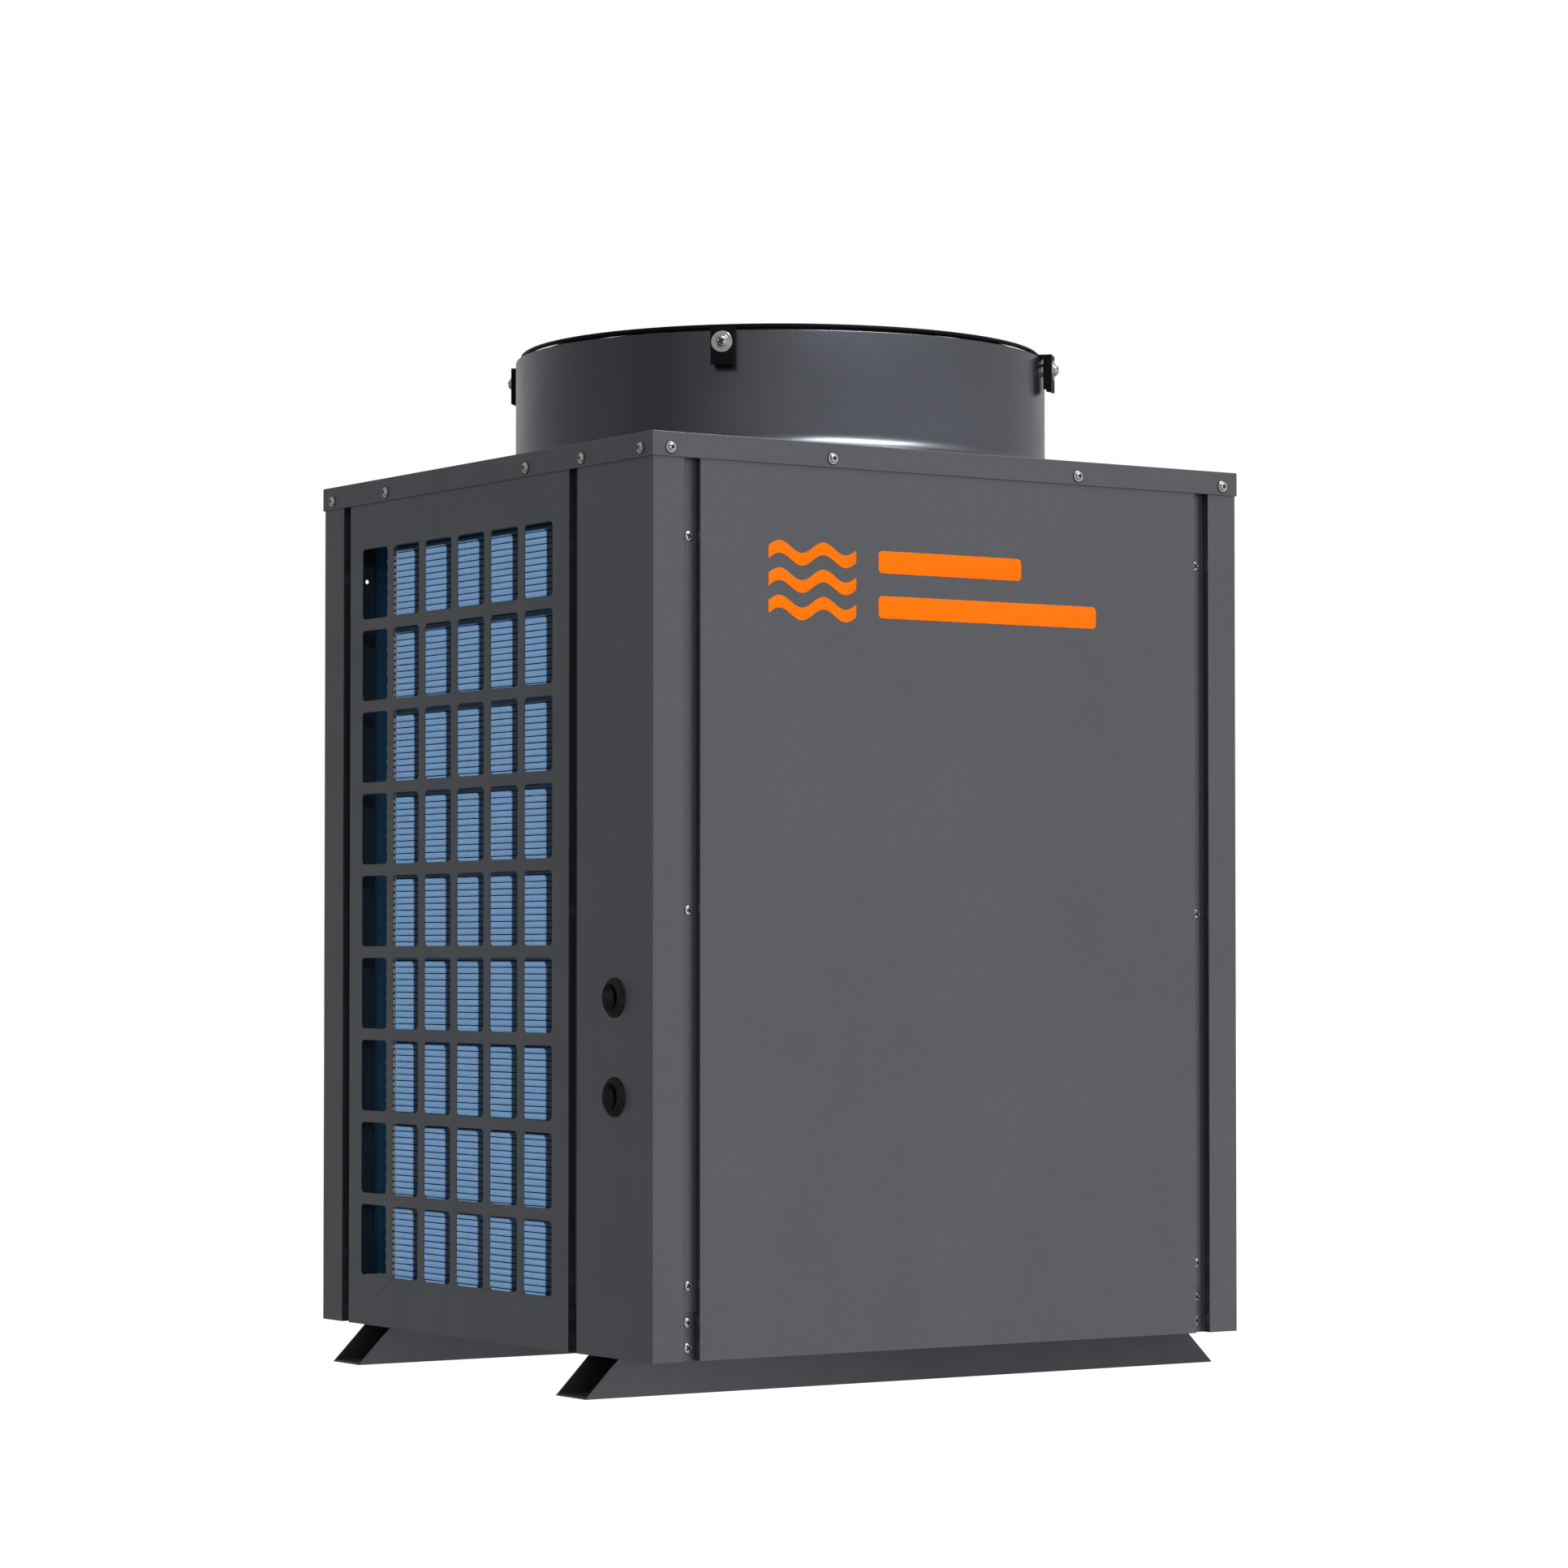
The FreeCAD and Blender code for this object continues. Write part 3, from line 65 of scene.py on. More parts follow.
def make_camera():
    """A long lens low in front of the front left corner."""
    data = bpy.data.cameras.new("camera")
    data.sensor_width = 36.0
    data.lens = 106.2
    data.shift_x = -0.0011
    data.shift_y = 0.0289
    data.clip_start = 0.1
    data.clip_end = 200.0
    camera = bpy.data.objects.new("camera", data)
    camera.location = (-3.0163, -4.5825, 0.4745)
    camera.rotation_euler = (math.radians(90 + 1.62), 0.0, math.radians(-33.52))
    bpy.context.scene.collection.objects.link(camera)
    bpy.context.scene.camera = camera


# ---------------------------------------------------------------- material building blocks

class Shader:
    """A node material under construction, around one Principled shader."""

    def __init__(self, name, colour, roughness, metallic=0.0, **sockets):
        self.material = bpy.data.materials.new(name)
        self.material.use_nodes = True
        self.tree = self.material.node_tree
        self.principled = self.tree.nodes["Principled BSDF"]
        self.colour = (*colour, 1.0)
        self.roughness = roughness
        self.principled.inputs["Base Color"].default_value = self.colour
        self.principled.inputs["Roughness"].default_value = roughness
        self.principled.inputs["Metallic"].default_value = metallic
        for socket, number in sockets.items():
            self.principled.inputs[socket.replace("_", " ")].default_value = number
        self.place = self.node("ShaderNodeTexCoord").outputs["Object"]

    def node(self, kind, **fields):
        """A new node with some of its fields set."""
        made = self.tree.nodes.new(kind)
        for field, setting in fields.items():
            setattr(made, field, setting)
        return made

    def link(self, start, end):
        self.tree.links.new(start, end)

    def split(self, vector):
        """The X, Y and Z outputs of a vector."""
        made = self.node("ShaderNodeSeparateXYZ")
        self.link(vector, made.inputs[0])
        return made.outputs

    def mixed(self, share, first, second):
        """A colour between two, each given as a colour or as a socket."""
        made = self.node("ShaderNodeMix", data_type="RGBA")
        self.link(share, made.inputs["Factor"])
        for socket, colour in ((made.inputs[6], first), (made.inputs[7], second)):
            if isinstance(colour, tuple):
                socket.default_value = colour
            else:
                self.link(colour, socket)
        return made.outputs[2]

    def base(self):
        """What the base colour is so far: a socket, or the plain colour."""
        socket = self.principled.inputs["Base Color"]
        return socket.links[0].from_socket if socket.is_linked else self.colour

    def stretched(self, x, y, z):
        """The object's own coordinates, scaled apart along each axis."""
        mapping = self.node("ShaderNodeMapping")
        mapping.inputs["Scale"].default_value = (x, y, z)
        self.link(self.place, mapping.inputs["Vector"])
        return mapping.outputs["Vector"]

    def noise(self, scale, detail=3.0, place=None):
        """Soft cloudy noise."""
        made = self.node("ShaderNodeTexNoise")
        made.inputs["Scale"].default_value = scale
        made.inputs["Detail"].default_value = detail
        self.link(place or self.place, made.inputs["Vector"])
        return made.outputs["Fac"]

    def cells(self, scale, output="Distance"):
        """Cells like crystals."""
        made = self.node("ShaderNodeTexVoronoi", feature="F1")
        made.inputs["Scale"].default_value = scale
        self.link(self.place, made.inputs["Vector"])
        return made.outputs[output]

    def spread(self, pattern, low, high, start=0.3, end=0.7):
        """A pattern's values between start and end, stretched to run from low to high."""
        made = self.node("ShaderNodeMapRange")
        made.inputs["From Min"].default_value = start
        made.inputs["From Max"].default_value = end
        made.inputs["To Min"].default_value = low
        made.inputs["To Max"].default_value = high
        self.link(pattern, made.inputs["Value"])
        return made.outputs["Result"]

    def tint(self, pattern, low, high):
        """Vary the colour's brightness by a factor between low and high."""
        scaled = self.node("ShaderNodeVectorMath", operation="SCALE")
        base = self.base()
        if isinstance(base, tuple):
            scaled.inputs[0].default_value = base[:3]
        else:
            self.link(base, scaled.inputs[0])
        self.link(self.spread(pattern, low, high), scaled.inputs["Scale"])
        self.link(scaled.outputs["Vector"], self.principled.inputs["Base Color"])

    def stain(self, pattern, colour, start, end):
        """Let another colour show where the pattern lies between start and end or above."""
        stained = self.mixed(self.spread(pattern, 0.0, 1.0, start, end), self.base(), (*colour, 1.0))
        self.link(stained, self.principled.inputs["Base Color"])

    def vary_roughness(self, pattern, amount):
        """Vary the roughness by an amount to both sides."""
        low, high = self.roughness - amount, self.roughness + amount
        self.link(self.spread(pattern, low, high), self.principled.inputs["Roughness"])

    def bump(self, pattern, strength, distance):
        """Fine relief, on top of any that is there."""
        made = self.node("ShaderNodeBump")
        made.inputs["Strength"].default_value = strength
        made.inputs["Distance"].default_value = distance
        self.link(pattern, made.inputs["Height"])
        socket = self.principled.inputs["Normal"]
        if socket.is_linked:
            self.link(socket.links[0].from_socket, made.inputs["Normal"])
        self.link(made.outputs["Normal"], socket)


# ---------------------------------------------------------------- materials

def powder_shader(name, colour, roughness=0.44):
    """Baked metallic powder: orange peel, small flakes, faint cloudiness and a little dust in streaks."""
    shader = Shader(name, colour, roughness, 1.0)
    shader.tint(shader.noise(3.2, 4.0), 0.98, 1.02)
    shader.tint(shader.noise(900.0, 2.0), 0.90, 1.10)
    shader.tint(shader.noise(9.0, 5.0, shader.stretched(1.0, 1.0, 0.12)), 0.985, 1.015)
    shader.vary_roughness(shader.noise(14.0, 4.0), 0.03)
    shader.bump(shader.noise(620.0, 2.0), 0.16, 0.12 * MM)
    return shader


def rail_coat():
    """The rails' powder coat, darker than the cabinet's as painted shade under the cabinet, and paler
    toward the left ends as painted light.
    """
    painted_light_end, painted_light_middle = -0.39, 0.02
    shader = powder_shader("rail_coat", (0.084, 0.086, 0.094), 0.50)
    # Painted light: the colour grows up to half again brighter toward the left ends.
    painted_light_share = shader.spread(shader.split(shader.place)["X"], 0.7, 0.3, painted_light_end, painted_light_middle)
    shader.tint(painted_light_share, 1.0, 1.5)
    return shader.material


# How far from the middle the painted inside shade stops, and where it fades from a painted blue reflection
# of the coil to nearly black painted shadow.
INSIDE_SHADE_REACH = (0.388, 0.389)
INSIDE_SHADE_FADE = (0.324, 0.338)
PAINTED_COIL_REFLECTION = (0.0017, 0.0105, 0.0215, 1.0)
PAINTED_SHADOW_BLACK = (0.0014, 0.0026, 0.0046, 1.0)


def inside_shade_coat(name, colour):
    """Powder coat outside, and painted light on the faces that look forward inside the cabinet: a dark blue
    painted reflection of the coil, fading to nearly black painted shadow.
    """
    shader = powder_shader(name, colour)
    geometry = shader.node("ShaderNodeNewGeometry")
    forward = shader.spread(shader.split(geometry.outputs["True Normal"])["Y"], 1.0, 0.0, -0.6, -0.4)
    beside = shader.node("ShaderNodeMath", operation="ABSOLUTE")
    shader.link(shader.split(geometry.outputs["Position"])["X"], beside.inputs[0])
    deep = shader.spread(beside.outputs[0], 1.0, 0.0, *INSIDE_SHADE_REACH)
    inside = shader.node("ShaderNodeMath", operation="MULTIPLY")
    shader.link(forward, inside.inputs[0])
    shader.link(deep, inside.inputs[1])
    inside = inside.outputs[0]
    fade = shader.spread(beside.outputs[0], 0.0, 1.0, *INSIDE_SHADE_FADE)
    # Painted reflection of the blue coil near the middle, painted shadow toward the sides.
    painted_inside = shader.mixed(fade, PAINTED_COIL_REFLECTION, PAINTED_SHADOW_BLACK)
    inputs = shader.principled.inputs
    shader.link(shader.mixed(inside, shader.base(), painted_inside), inputs["Base Color"])
    shader.link(shader.spread(inside, 1.0, 0.0, 0.0, 1.0), inputs["Metallic"])
    shader.link(shader.spread(inside, 0.5, 0.05, 0.0, 1.0), inputs["Specular IOR Level"])
    return shader.material


def black_coat():
    """Dipped black plastic over wire and tabs."""
    shader = Shader("black_dip", (0.0022, 0.0022, 0.0026), 0.48, Specular_IOR_Level=0.08)
    shader.tint(shader.noise(60.0), 0.8, 1.25)
    shader.vary_roughness(shader.noise(160.0), 0.08)
    shader.bump(shader.noise(420.0), 0.25, 0.15 * MM)
    return shader.material


def galvanised():
    """Zinc spangle: flat crystals of slightly different brightness."""
    shader = Shader("zinc_spangle", (0.50, 0.515, 0.53), 0.42, 0.9)
    crystals = shader.cells(85.0, output="Color")
    shader.tint(crystals, 0.80, 1.12)
    shader.vary_roughness(crystals, 0.10)
    shader.stain(shader.noise(16.0, 5.0), (0.42, 0.42, 0.41), 0.55, 0.8)
    shader.bump(shader.cells(85.0), 0.12, 0.1 * MM)
    return shader.material


def bright_metal(name, colour, roughness, scratches=900.0):
    """Plated or stainless fasteners with turning marks and small scuffs."""
    shader = Shader(name, colour, roughness, 1.0)
    shader.tint(shader.noise(240.0, 4.0), 0.78, 1.10)
    shader.vary_roughness(shader.noise(700.0, 3.0), 0.09)
    shader.stain(shader.noise(130.0, 6.0), (0.32, 0.31, 0.29), 0.60, 0.80)
    shader.bump(shader.noise(scratches, 3.0, shader.stretched(1.0, 1.0, 4.0)), 0.18, 0.05 * MM)
    return shader.material


def moulded_rubber():
    """Soft black rubber, greyer where it has bloomed."""
    shader = Shader("moulded_rubber", (0.0045, 0.0047, 0.0054), 0.62, Specular_IOR_Level=0.16)
    shader.stain(shader.noise(90.0, 5.0), (0.011, 0.0115, 0.0125), 0.45, 0.8)
    shader.vary_roughness(shader.noise(300.0), 0.08)
    shader.bump(shader.noise(1100.0), 0.3, 0.08 * MM)
    return shader.material


def fin_blue():
    """Blue lacquer on aluminium: satin bands, faintly combed upright, with pale nicks."""
    shader = Shader("fin_blue", (0.225, 0.412, 0.685), 0.42, Specular_IOR_Level=0.15)
    combed = shader.noise(1.0, 3.0, shader.stretched(60.0, 620.0, 9.0))
    shader.tint(combed, 0.94, 1.05)
    shader.tint(shader.noise(21.0, 3.0, shader.stretched(1.0, 1.0, 6.0)), 0.93, 1.05)
    shader.stain(shader.noise(170.0, 2.0, shader.stretched(1.0, 1.0, 2.5)), (0.48, 0.62, 0.82), 0.74, 0.84)
    shader.vary_roughness(combed, 0.06)
    shader.bump(combed, 0.05, 0.05 * MM)
    return shader.material


def fin_shade():
    """The narrow slots between the bands, too deep for light."""
    shader = Shader("fin_slot", (0.008, 0.016, 0.045), 0.6, Specular_IOR_Level=0.1)
    shader.tint(shader.noise(80.0), 0.7, 1.3)
    shader.bump(shader.noise(300.0), 0.2, 0.1 * MM)
    return shader.material


def hairpin_metal():
    """Dull plated tube that catches the light."""
    shader = Shader("hairpin_metal", (0.74, 0.75, 0.77), 0.30, 0.55)
    shader.tint(shader.noise(180.0, 3.0), 0.8, 1.1)
    shader.stain(shader.noise(60.0, 5.0), (0.26, 0.25, 0.26), 0.58, 0.8)
    shader.vary_roughness(shader.noise(300.0), 0.08)
    shader.bump(shader.noise(500.0, 2.0), 0.12, 0.05 * MM)
    return shader.material


def tarnished_copper():
    """Drawn copper with brown heat stains and finger-dull patches."""
    shader = Shader("tarnished_copper", (0.72, 0.36, 0.21), 0.30, 1.0)
    shader.stain(shader.noise(24.0, 6.0), (0.25, 0.11, 0.06), 0.50, 0.78)
    shader.tint(shader.noise(260.0, 3.0), 0.86, 1.08)
    shader.vary_roughness(shader.noise(38.0, 4.0), 0.12)
    shader.bump(shader.noise(500.0, 2.0, shader.stretched(1.0, 1.0, 0.15)), 0.15, 0.06 * MM)
    return shader.material


def enamel(name, colour, roughness=0.30):
    """Sprayed enamel on pressed or cast steel."""
    shader = Shader(name, colour, roughness, 0.0, Coat_Weight=0.35, Coat_Roughness=0.2)
    shader.tint(shader.noise(40.0, 4.0), 0.88, 1.10)
    shader.vary_roughness(shader.noise(90.0), 0.07)
    shader.bump(shader.noise(330.0), 0.22, 0.12 * MM)
    return shader.material


def plastic(name, colour, roughness, grain=520.0):
    """Moulded plastic with a fine spark-eroded grain."""
    shader = Shader(name, colour, roughness)
    shader.tint(shader.noise(30.0, 4.0), 0.93, 1.05)
    shader.vary_roughness(shader.noise(120.0), 0.06)
    shader.bump(shader.cells(grain), 0.22, 0.1 * MM)
    return shader.material


def circuit_board():
    """Green solder mask over crossing tracks."""
    shader = Shader("circuit_board", (0.018, 0.13, 0.06), 0.35)
    tracks = shader.node("ShaderNodeTexBrick")
    tracks.inputs["Scale"].default_value = 70.0
    tracks.inputs["Mortar Size"].default_value = 0.06
    shader.link(shader.stretched(1.0, 1.0, 1.0), tracks.inputs["Vector"])
    shader.stain(tracks.outputs["Fac"], (0.05, 0.24, 0.11), 0.2, 0.9)
    shader.vary_roughness(shader.noise(200.0), 0.06)
    shader.bump(tracks.outputs["Fac"], 0.3, 0.08 * MM)
    return shader.material


def badge_vinyl():
    """Orange film with a slight peel under its gloss."""
    shader = Shader("badge_vinyl", (0.66, 0.125, 0.002), 0.42, Specular_IOR_Level=0.15)
    shader.tint(shader.noise(45.0, 3.0), 0.97, 1.03)
    shader.vary_roughness(shader.noise(160.0), 0.05)
    shader.bump(shader.noise(700.0), 0.12, 0.05 * MM)
    return shader.material


CHARCOAL = (0.144, 0.150, 0.164)
coats = {
    "cabinet": powder_shader("charcoal_coat", CHARCOAL).material,
    "inside_shade": inside_shade_coat("inside_shade_coat", CHARCOAL),
    "rail": rail_coat(),
    "duct": powder_shader("duct_coat", (0.124, 0.131, 0.150), 0.29).material,
    "black": black_coat(),
    "zinc": galvanised(),
    "screw": bright_metal("screw_plate", (0.73, 0.73, 0.73), 0.25),
    "recess": enamel("recess_shade", (0.008, 0.008, 0.009), 0.6),
    "hairpin": hairpin_metal(),
    "stainless": bright_metal("stainless", (0.62, 0.61, 0.59), 0.27),
    "steel": bright_metal("ground_steel", (0.52, 0.52, 0.53), 0.22, 1500.0),
    "rubber": moulded_rubber(),
    "fins": fin_blue(),
    "slots": fin_shade(),
    "copper": tarnished_copper(),
    "compressor": enamel("compressor_enamel", (0.012, 0.012, 0.013)),
    "motor": enamel("motor_enamel", (0.045, 0.047, 0.05)),
    "drier": enamel("drier_enamel", (0.02, 0.05, 0.22), 0.25),
    "fan": plastic("fan_plastic", (0.010, 0.0105, 0.011), 0.45),
    "pipe": plastic("pipe_plastic", (0.11, 0.115, 0.12), 0.32, 900.0),
    "vessel": plastic("vessel_plastic", (0.52, 0.52, 0.50), 0.5, 300.0),
    "device": plastic("device_plastic", (0.42, 0.42, 0.40), 0.45),
    "board": circuit_board(),
    "badge": badge_vinyl(),
}

NODE_COATS = {
    "cabinet": ["front_right_post", "front_left_post", "front_panel", "left_grille_panel",
                "right_grille_panel", "top_cover"],
    "inside_shade": ["rear_right_post", "rear_left_post", "rear_panel"],
    "rail": ["front_rail", "rear_rail"],
    "black": ["guard_tabs"],
    "zinc": ["base_tray", "motor_frame", "coil_plates", "electrical_box", "electrical_cover"],
    "screw": ["frame_bolts", "fan_nut"],
    "steel": ["motor_bearings", "fan_shaft", "motor_rotor", "flow_paddle", "run_capacitor"],
    "rubber": ["cable_grommets", "compressor_rubbers"],
    "copper": ["coil_headers", "reversing_valve", "discharge_pipe", "suction_pipes", "hot_gas_pipe",
               "coil_gas_pipe", "liquid_pipe", "expansion_valve"],
    "compressor": ["compressor", "accumulator"],
    "motor": ["motor_shell", "motor_end_cap"],
    "drier": ["filter_drier"],
    "fan": ["fan_hub", "fan_blades", "compressor_terminal_box", "flow_switch", "contactor_armature"],
    "pipe": ["water_pipes", "union_sockets", "drain_spigot"],
    "vessel": ["water_exchanger"],
    "device": ["contactor_body", "terminal_block"],
    "board": ["control_board"],
}


def coat_nodes():
    """Give every CAD node that stays on show its material."""
    for coat, names in NODE_COATS.items():
        for name in names:
            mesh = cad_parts[name].data
            mesh.materials.clear()
            mesh.materials.append(coats[coat])


def soften_edges(name, width):
    """Round a sheet-metal node's folds and edges a little."""
    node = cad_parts[name]
    weld = node.modifiers.new("weld", "WELD")
    weld.merge_threshold = 0.01 * MM
    bevel = node.modifiers.new("bevel", "BEVEL")
    bevel.width = width
    bevel.segments = 2
    bevel.limit_method = "ANGLE"
    bevel.angle_limit = math.radians(40)
    bevel.harden_normals = True


# ---------------------------------------------------------------- mesh building blocks

def new_piece(name, corners, faces, coat, body=CABINET, crease=35.0):
    """A mesh piece that rides on a body. Faces that meet at less than the crease angle shade smoothly."""
    mesh = bpy.data.meshes.new(name)
    mesh.from_pydata([tuple(corner) for corner in corners], [], faces)
    mesh.validate()
    tidy = bmesh.new()
    tidy.from_mesh(mesh)
    bmesh.ops.recalc_face_normals(tidy, faces=tidy.faces)
    tidy.to_mesh(mesh)
    tidy.free()
    mesh.materials.append(coats[coat])
    mesh.shade_smooth()
    mesh.set_sharp_from_angle(angle=math.radians(crease))
    piece = bpy.data.objects.new(name, mesh)
    bpy.context.scene.collection.objects.link(piece)
    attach(piece, body)
    return piece


def ring_surface(rings, closed_ends=False, closed_loop=False):
    """Points and faces joining rings of equal length, each ring a closed loop."""
    count = len(rings[0])
    corners = [point for ring in rings for point in ring]
    faces = []
    last = len(rings) if closed_loop else len(rings) - 1
    for row in range(last):
        here, there = row * count, (row + 1) % len(rings) * count
        for k in range(count):
            after = (k + 1) % count
            faces.append((here + k, here + after, there + after, there + k))
    if closed_ends:
        faces.append(tuple(reversed(range(count))))
        top = (len(rings) - 1) * count
        faces.append(tuple(range(top, top + count)))
    return corners, faces


def circle(radius, level, count):
    """Points evenly round a level circle about the Z axis."""
    return [(radius * math.cos(TAU * k / count), radius * math.sin(TAU * k / count), level)
            for k in range(count)]


def tube_section(point, side, up, radius, around):
    """A round section of a tube in the plane of side and up."""
    return [point + (side * math.cos(TAU * k / around) + up * math.sin(TAU * k / around)) * radius
            for k in range(around)]


def lathe(outline, segments, centre=Vector((0.0, 0.0, 0.0)), closed_loop=True):
    """A turned surface from (radius, height) pairs about a vertical axis."""
    rings = [[centre + Vector(point) for point in circle(radius, height, segments)]
             for radius, height in outline]
    return ring_surface(rings, closed_loop=closed_loop)


def merged(parts):
    """Several (points, faces) pairs as one."""
    corners, faces = [], []
    for some_corners, some_faces in parts:
        start = len(corners)
        corners += some_corners
        faces += [tuple(start + index for index in face) for face in some_faces]
    return corners, faces


def copies(part, places):
    """One (points, faces) pair repeated under each matrix."""
    corners, faces = part
    return merged([([place @ Vector(corner) for corner in corners], faces) for place in places])


def solids_of(name):
    """The separate solids of a CAD node, each as a list of its points."""
    tidy = bmesh.new()
    tidy.from_mesh(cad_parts[name].data)
    bmesh.ops.remove_doubles(tidy, verts=tidy.verts, dist=0.01 * MM)
    waiting = set(tidy.verts)
    solids = []
    while waiting:
        reached = [waiting.pop()]
        for vertex in reached:
            for edge in vertex.link_edges:
                other = edge.other_vert(vertex)
                if other in waiting:
                    waiting.remove(other)
                    reached.append(other)
        solids.append([vertex.co.copy() for vertex in reached])
    tidy.free()
    return sorted(solids, key=lambda points: tuple(round(c, 5) for c in middle_of(points)))


def middle_of(points):
    """The middle of the box round some points."""
    low = Vector(min(point[k] for point in points) for k in range(3))
    high = Vector(max(point[k] for point in points) for k in range(3))
    return (low + high) / 2


def facing(point, way, spin=0.0):
    """A place at a point whose +Z looks along way, turned by spin about it."""
    turned = way.to_track_quat("Z", "Y").to_matrix().to_4x4()
    return Matrix.Translation(point) @ turned @ Matrix.Rotation(spin, 4, "Z")


def raised(part, height):
    """A part moved up."""
    return copies(part, [Matrix.Translation((0, 0, height))])


def way_at(angle):
    """The level direction at an angle."""
    return Vector((math.cos(angle), math.sin(angle), 0))


def angle_about_fan(points):
    """Where some points stand about the fan's axis, to the nearest whole degree."""
    middle = middle_of(points) - fan_axis
    return round(math.degrees(math.atan2(middle.y, middle.x)))


# ---------------------------------------------------------------- screws and bolts

def smooth_step(number, start, end):
    """0 before start and 1 after end, with a soft rise between them."""
    share = min(max((number - start) / (end - start), 0.0), 1.0)
    return share * share * (3 - 2 * share)


def cross_depth(x, y, arm, slot, depth):
    """How deep a cross recess is at a point of a screw's head."""
    soft = slot * 0.45
    along = 1 - smooth_step(max(abs(x), abs(y)), arm - soft, arm + soft)
    across = 1 - smooth_step(min(abs(x), abs(y)), slot - soft, slot + soft)
    return depth * along * across


# A cross recess's arm length and half width as shares of its head's radius.
CROSS_ARM, CROSS_SLOT = 0.60, 0.17


def domed_head(radius, height, lip, segments=56, rings=15):
    """A domed head with a cross recess and a rolled edge, standing on z = 0."""
    arm, slot, depth = radius * CROSS_ARM, radius * CROSS_SLOT, height * 0.75
    edge = [(radius * 0.97, 0.0), (radius, lip * 0.35), (radius * 0.985, lip)]
    loops = [circle(reach, level, segments) for reach, level in edge]
    for ring in range(1, rings):
        reach = radius * 0.95 * (1 - ring / rings) ** 0.92
        crown = lip + (height - lip) * (1 - (reach / radius) ** 2) ** 0.8
        loops.append([(x, y, crown - cross_depth(x, y, arm, slot, depth))
                      for x, y, _ in circle(reach, crown, segments)])
    return ring_surface(loops, closed_ends=True)


def washer(outer, inner, thickness, segments=48):
    """A flat washer with rounded rims."""
    soft = thickness * 0.3
    outline = [(inner, 0.0), (outer - soft, 0.0), (outer, soft), (outer, thickness - soft),
               (outer - soft, thickness), (inner, thickness)]
    return lathe(outline, segments)


def outward_face(point):
    """Which way the cabinet's surface looks at a screw."""
    if point.z > deck_level - 4 * MM:
        return Vector((0, 0, 1))
    if abs(point.x) / cap_high.x > abs(point.y) / cap_high.y:
        return Vector((math.copysign(1, point.x), 0, 0))
    return Vector((0, math.copysign(1, point.y), 0))


def screw_places(name, seat, chooser):
    """Where each screw of a CAD node sits, its head looking out and its cross at a random turn."""
    places = []
    for points in solids_of(name):
        middle = middle_of(points)
        way = outward_face(middle)
        reach = max(point.dot(way) for point in points)
        seat_point = middle + way * (reach - seat - middle.dot(way))
        places.append(facing(seat_point, way, chooser.uniform(0, TAU)))
    return places


def cross_plug(radius, height, lip):
    """The shaded inside of a head's cross recess: two bars just above the recess's floor."""
    arm, slot = radius * CROSS_ARM, radius * CROSS_SLOT
    level = lip + (height - lip) * 0.80
    parts = []
    for long_x, long_y in ((arm, slot), (slot, arm)):
        corners = [(x * long_x, y * long_y, z) for z in (level - 0.3 * MM, level)
                   for x, y in ((-1, -1), (1, -1), (1, 1), (-1, 1))]
        faces = [(3, 2, 1, 0), (4, 5, 6, 7), (0, 1, 5, 4), (1, 2, 6, 5), (2, 3, 7, 6), (3, 0, 4, 7)]
        parts.append((corners, faces))
    return merged(parts)


def make_screws():
    """Self-tapping screws in the grooves, and screws with washers on the cap and the duct's foot."""
    chooser = random.Random(4)
    head = {"radius": 5.5 * MM, "height": 2.8 * MM, "lip": 0.7 * MM}
    places = screw_places("panel_screws", head["height"], chooser)
    corners, faces = copies(domed_head(**head), places)
    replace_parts(new_piece("panel_screw_heads", corners, faces, "screw"), "panel_screws")
    corners, faces = copies(cross_plug(**head), places)
    new_piece("panel_screw_recesses", corners, faces, "recess")

    head = {"radius": 4.4 * MM, "height": 2.9 * MM, "lip": 0.9 * MM}
    under = 1.1 * MM
    places = screw_places("cap_screws", under + head["height"], chooser)
    with_washer = merged([washer(6.2 * MM, 1.6 * MM, under), raised(domed_head(**head), under)])
    corners, faces = copies(with_washer, places)
    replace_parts(new_piece("cap_screw_heads", corners, faces, "screw"), "cap_screws")
    shades = merged([washer(5.1 * MM, 4.3 * MM, 1.25 * MM), washer(7.5 * MM, 5.8 * MM, 0.55 * MM),
                     raised(cross_plug(**head), under)])
    corners, faces = copies(shades, places)
    new_piece("cap_screw_shades", corners, faces, "recess")


def hexagon_nut(across, bore, height):
    """A hexagon nut with chamfered corners."""
    reach = across / 2 / math.cos(math.pi / 6)
    segments = 48
    loops = []
    for level, shrink in ((0.0, 0.93), (height * 0.12, 1.0), (height * 0.88, 1.0), (height, 0.93)):
        loop = []
        for k in range(segments):
            angle = TAU * k / segments
            flat = (angle + math.pi / 6) % (math.pi / 3) - math.pi / 6
            size = min(across / 2 / math.cos(flat), reach * shrink)
            loop.append((size * math.cos(angle), size * math.sin(angle), level))
        loops.append(loop)
    loops += [circle(bore, level, segments) for level in (height, 0.0)]
    return ring_surface(loops, closed_loop=True)


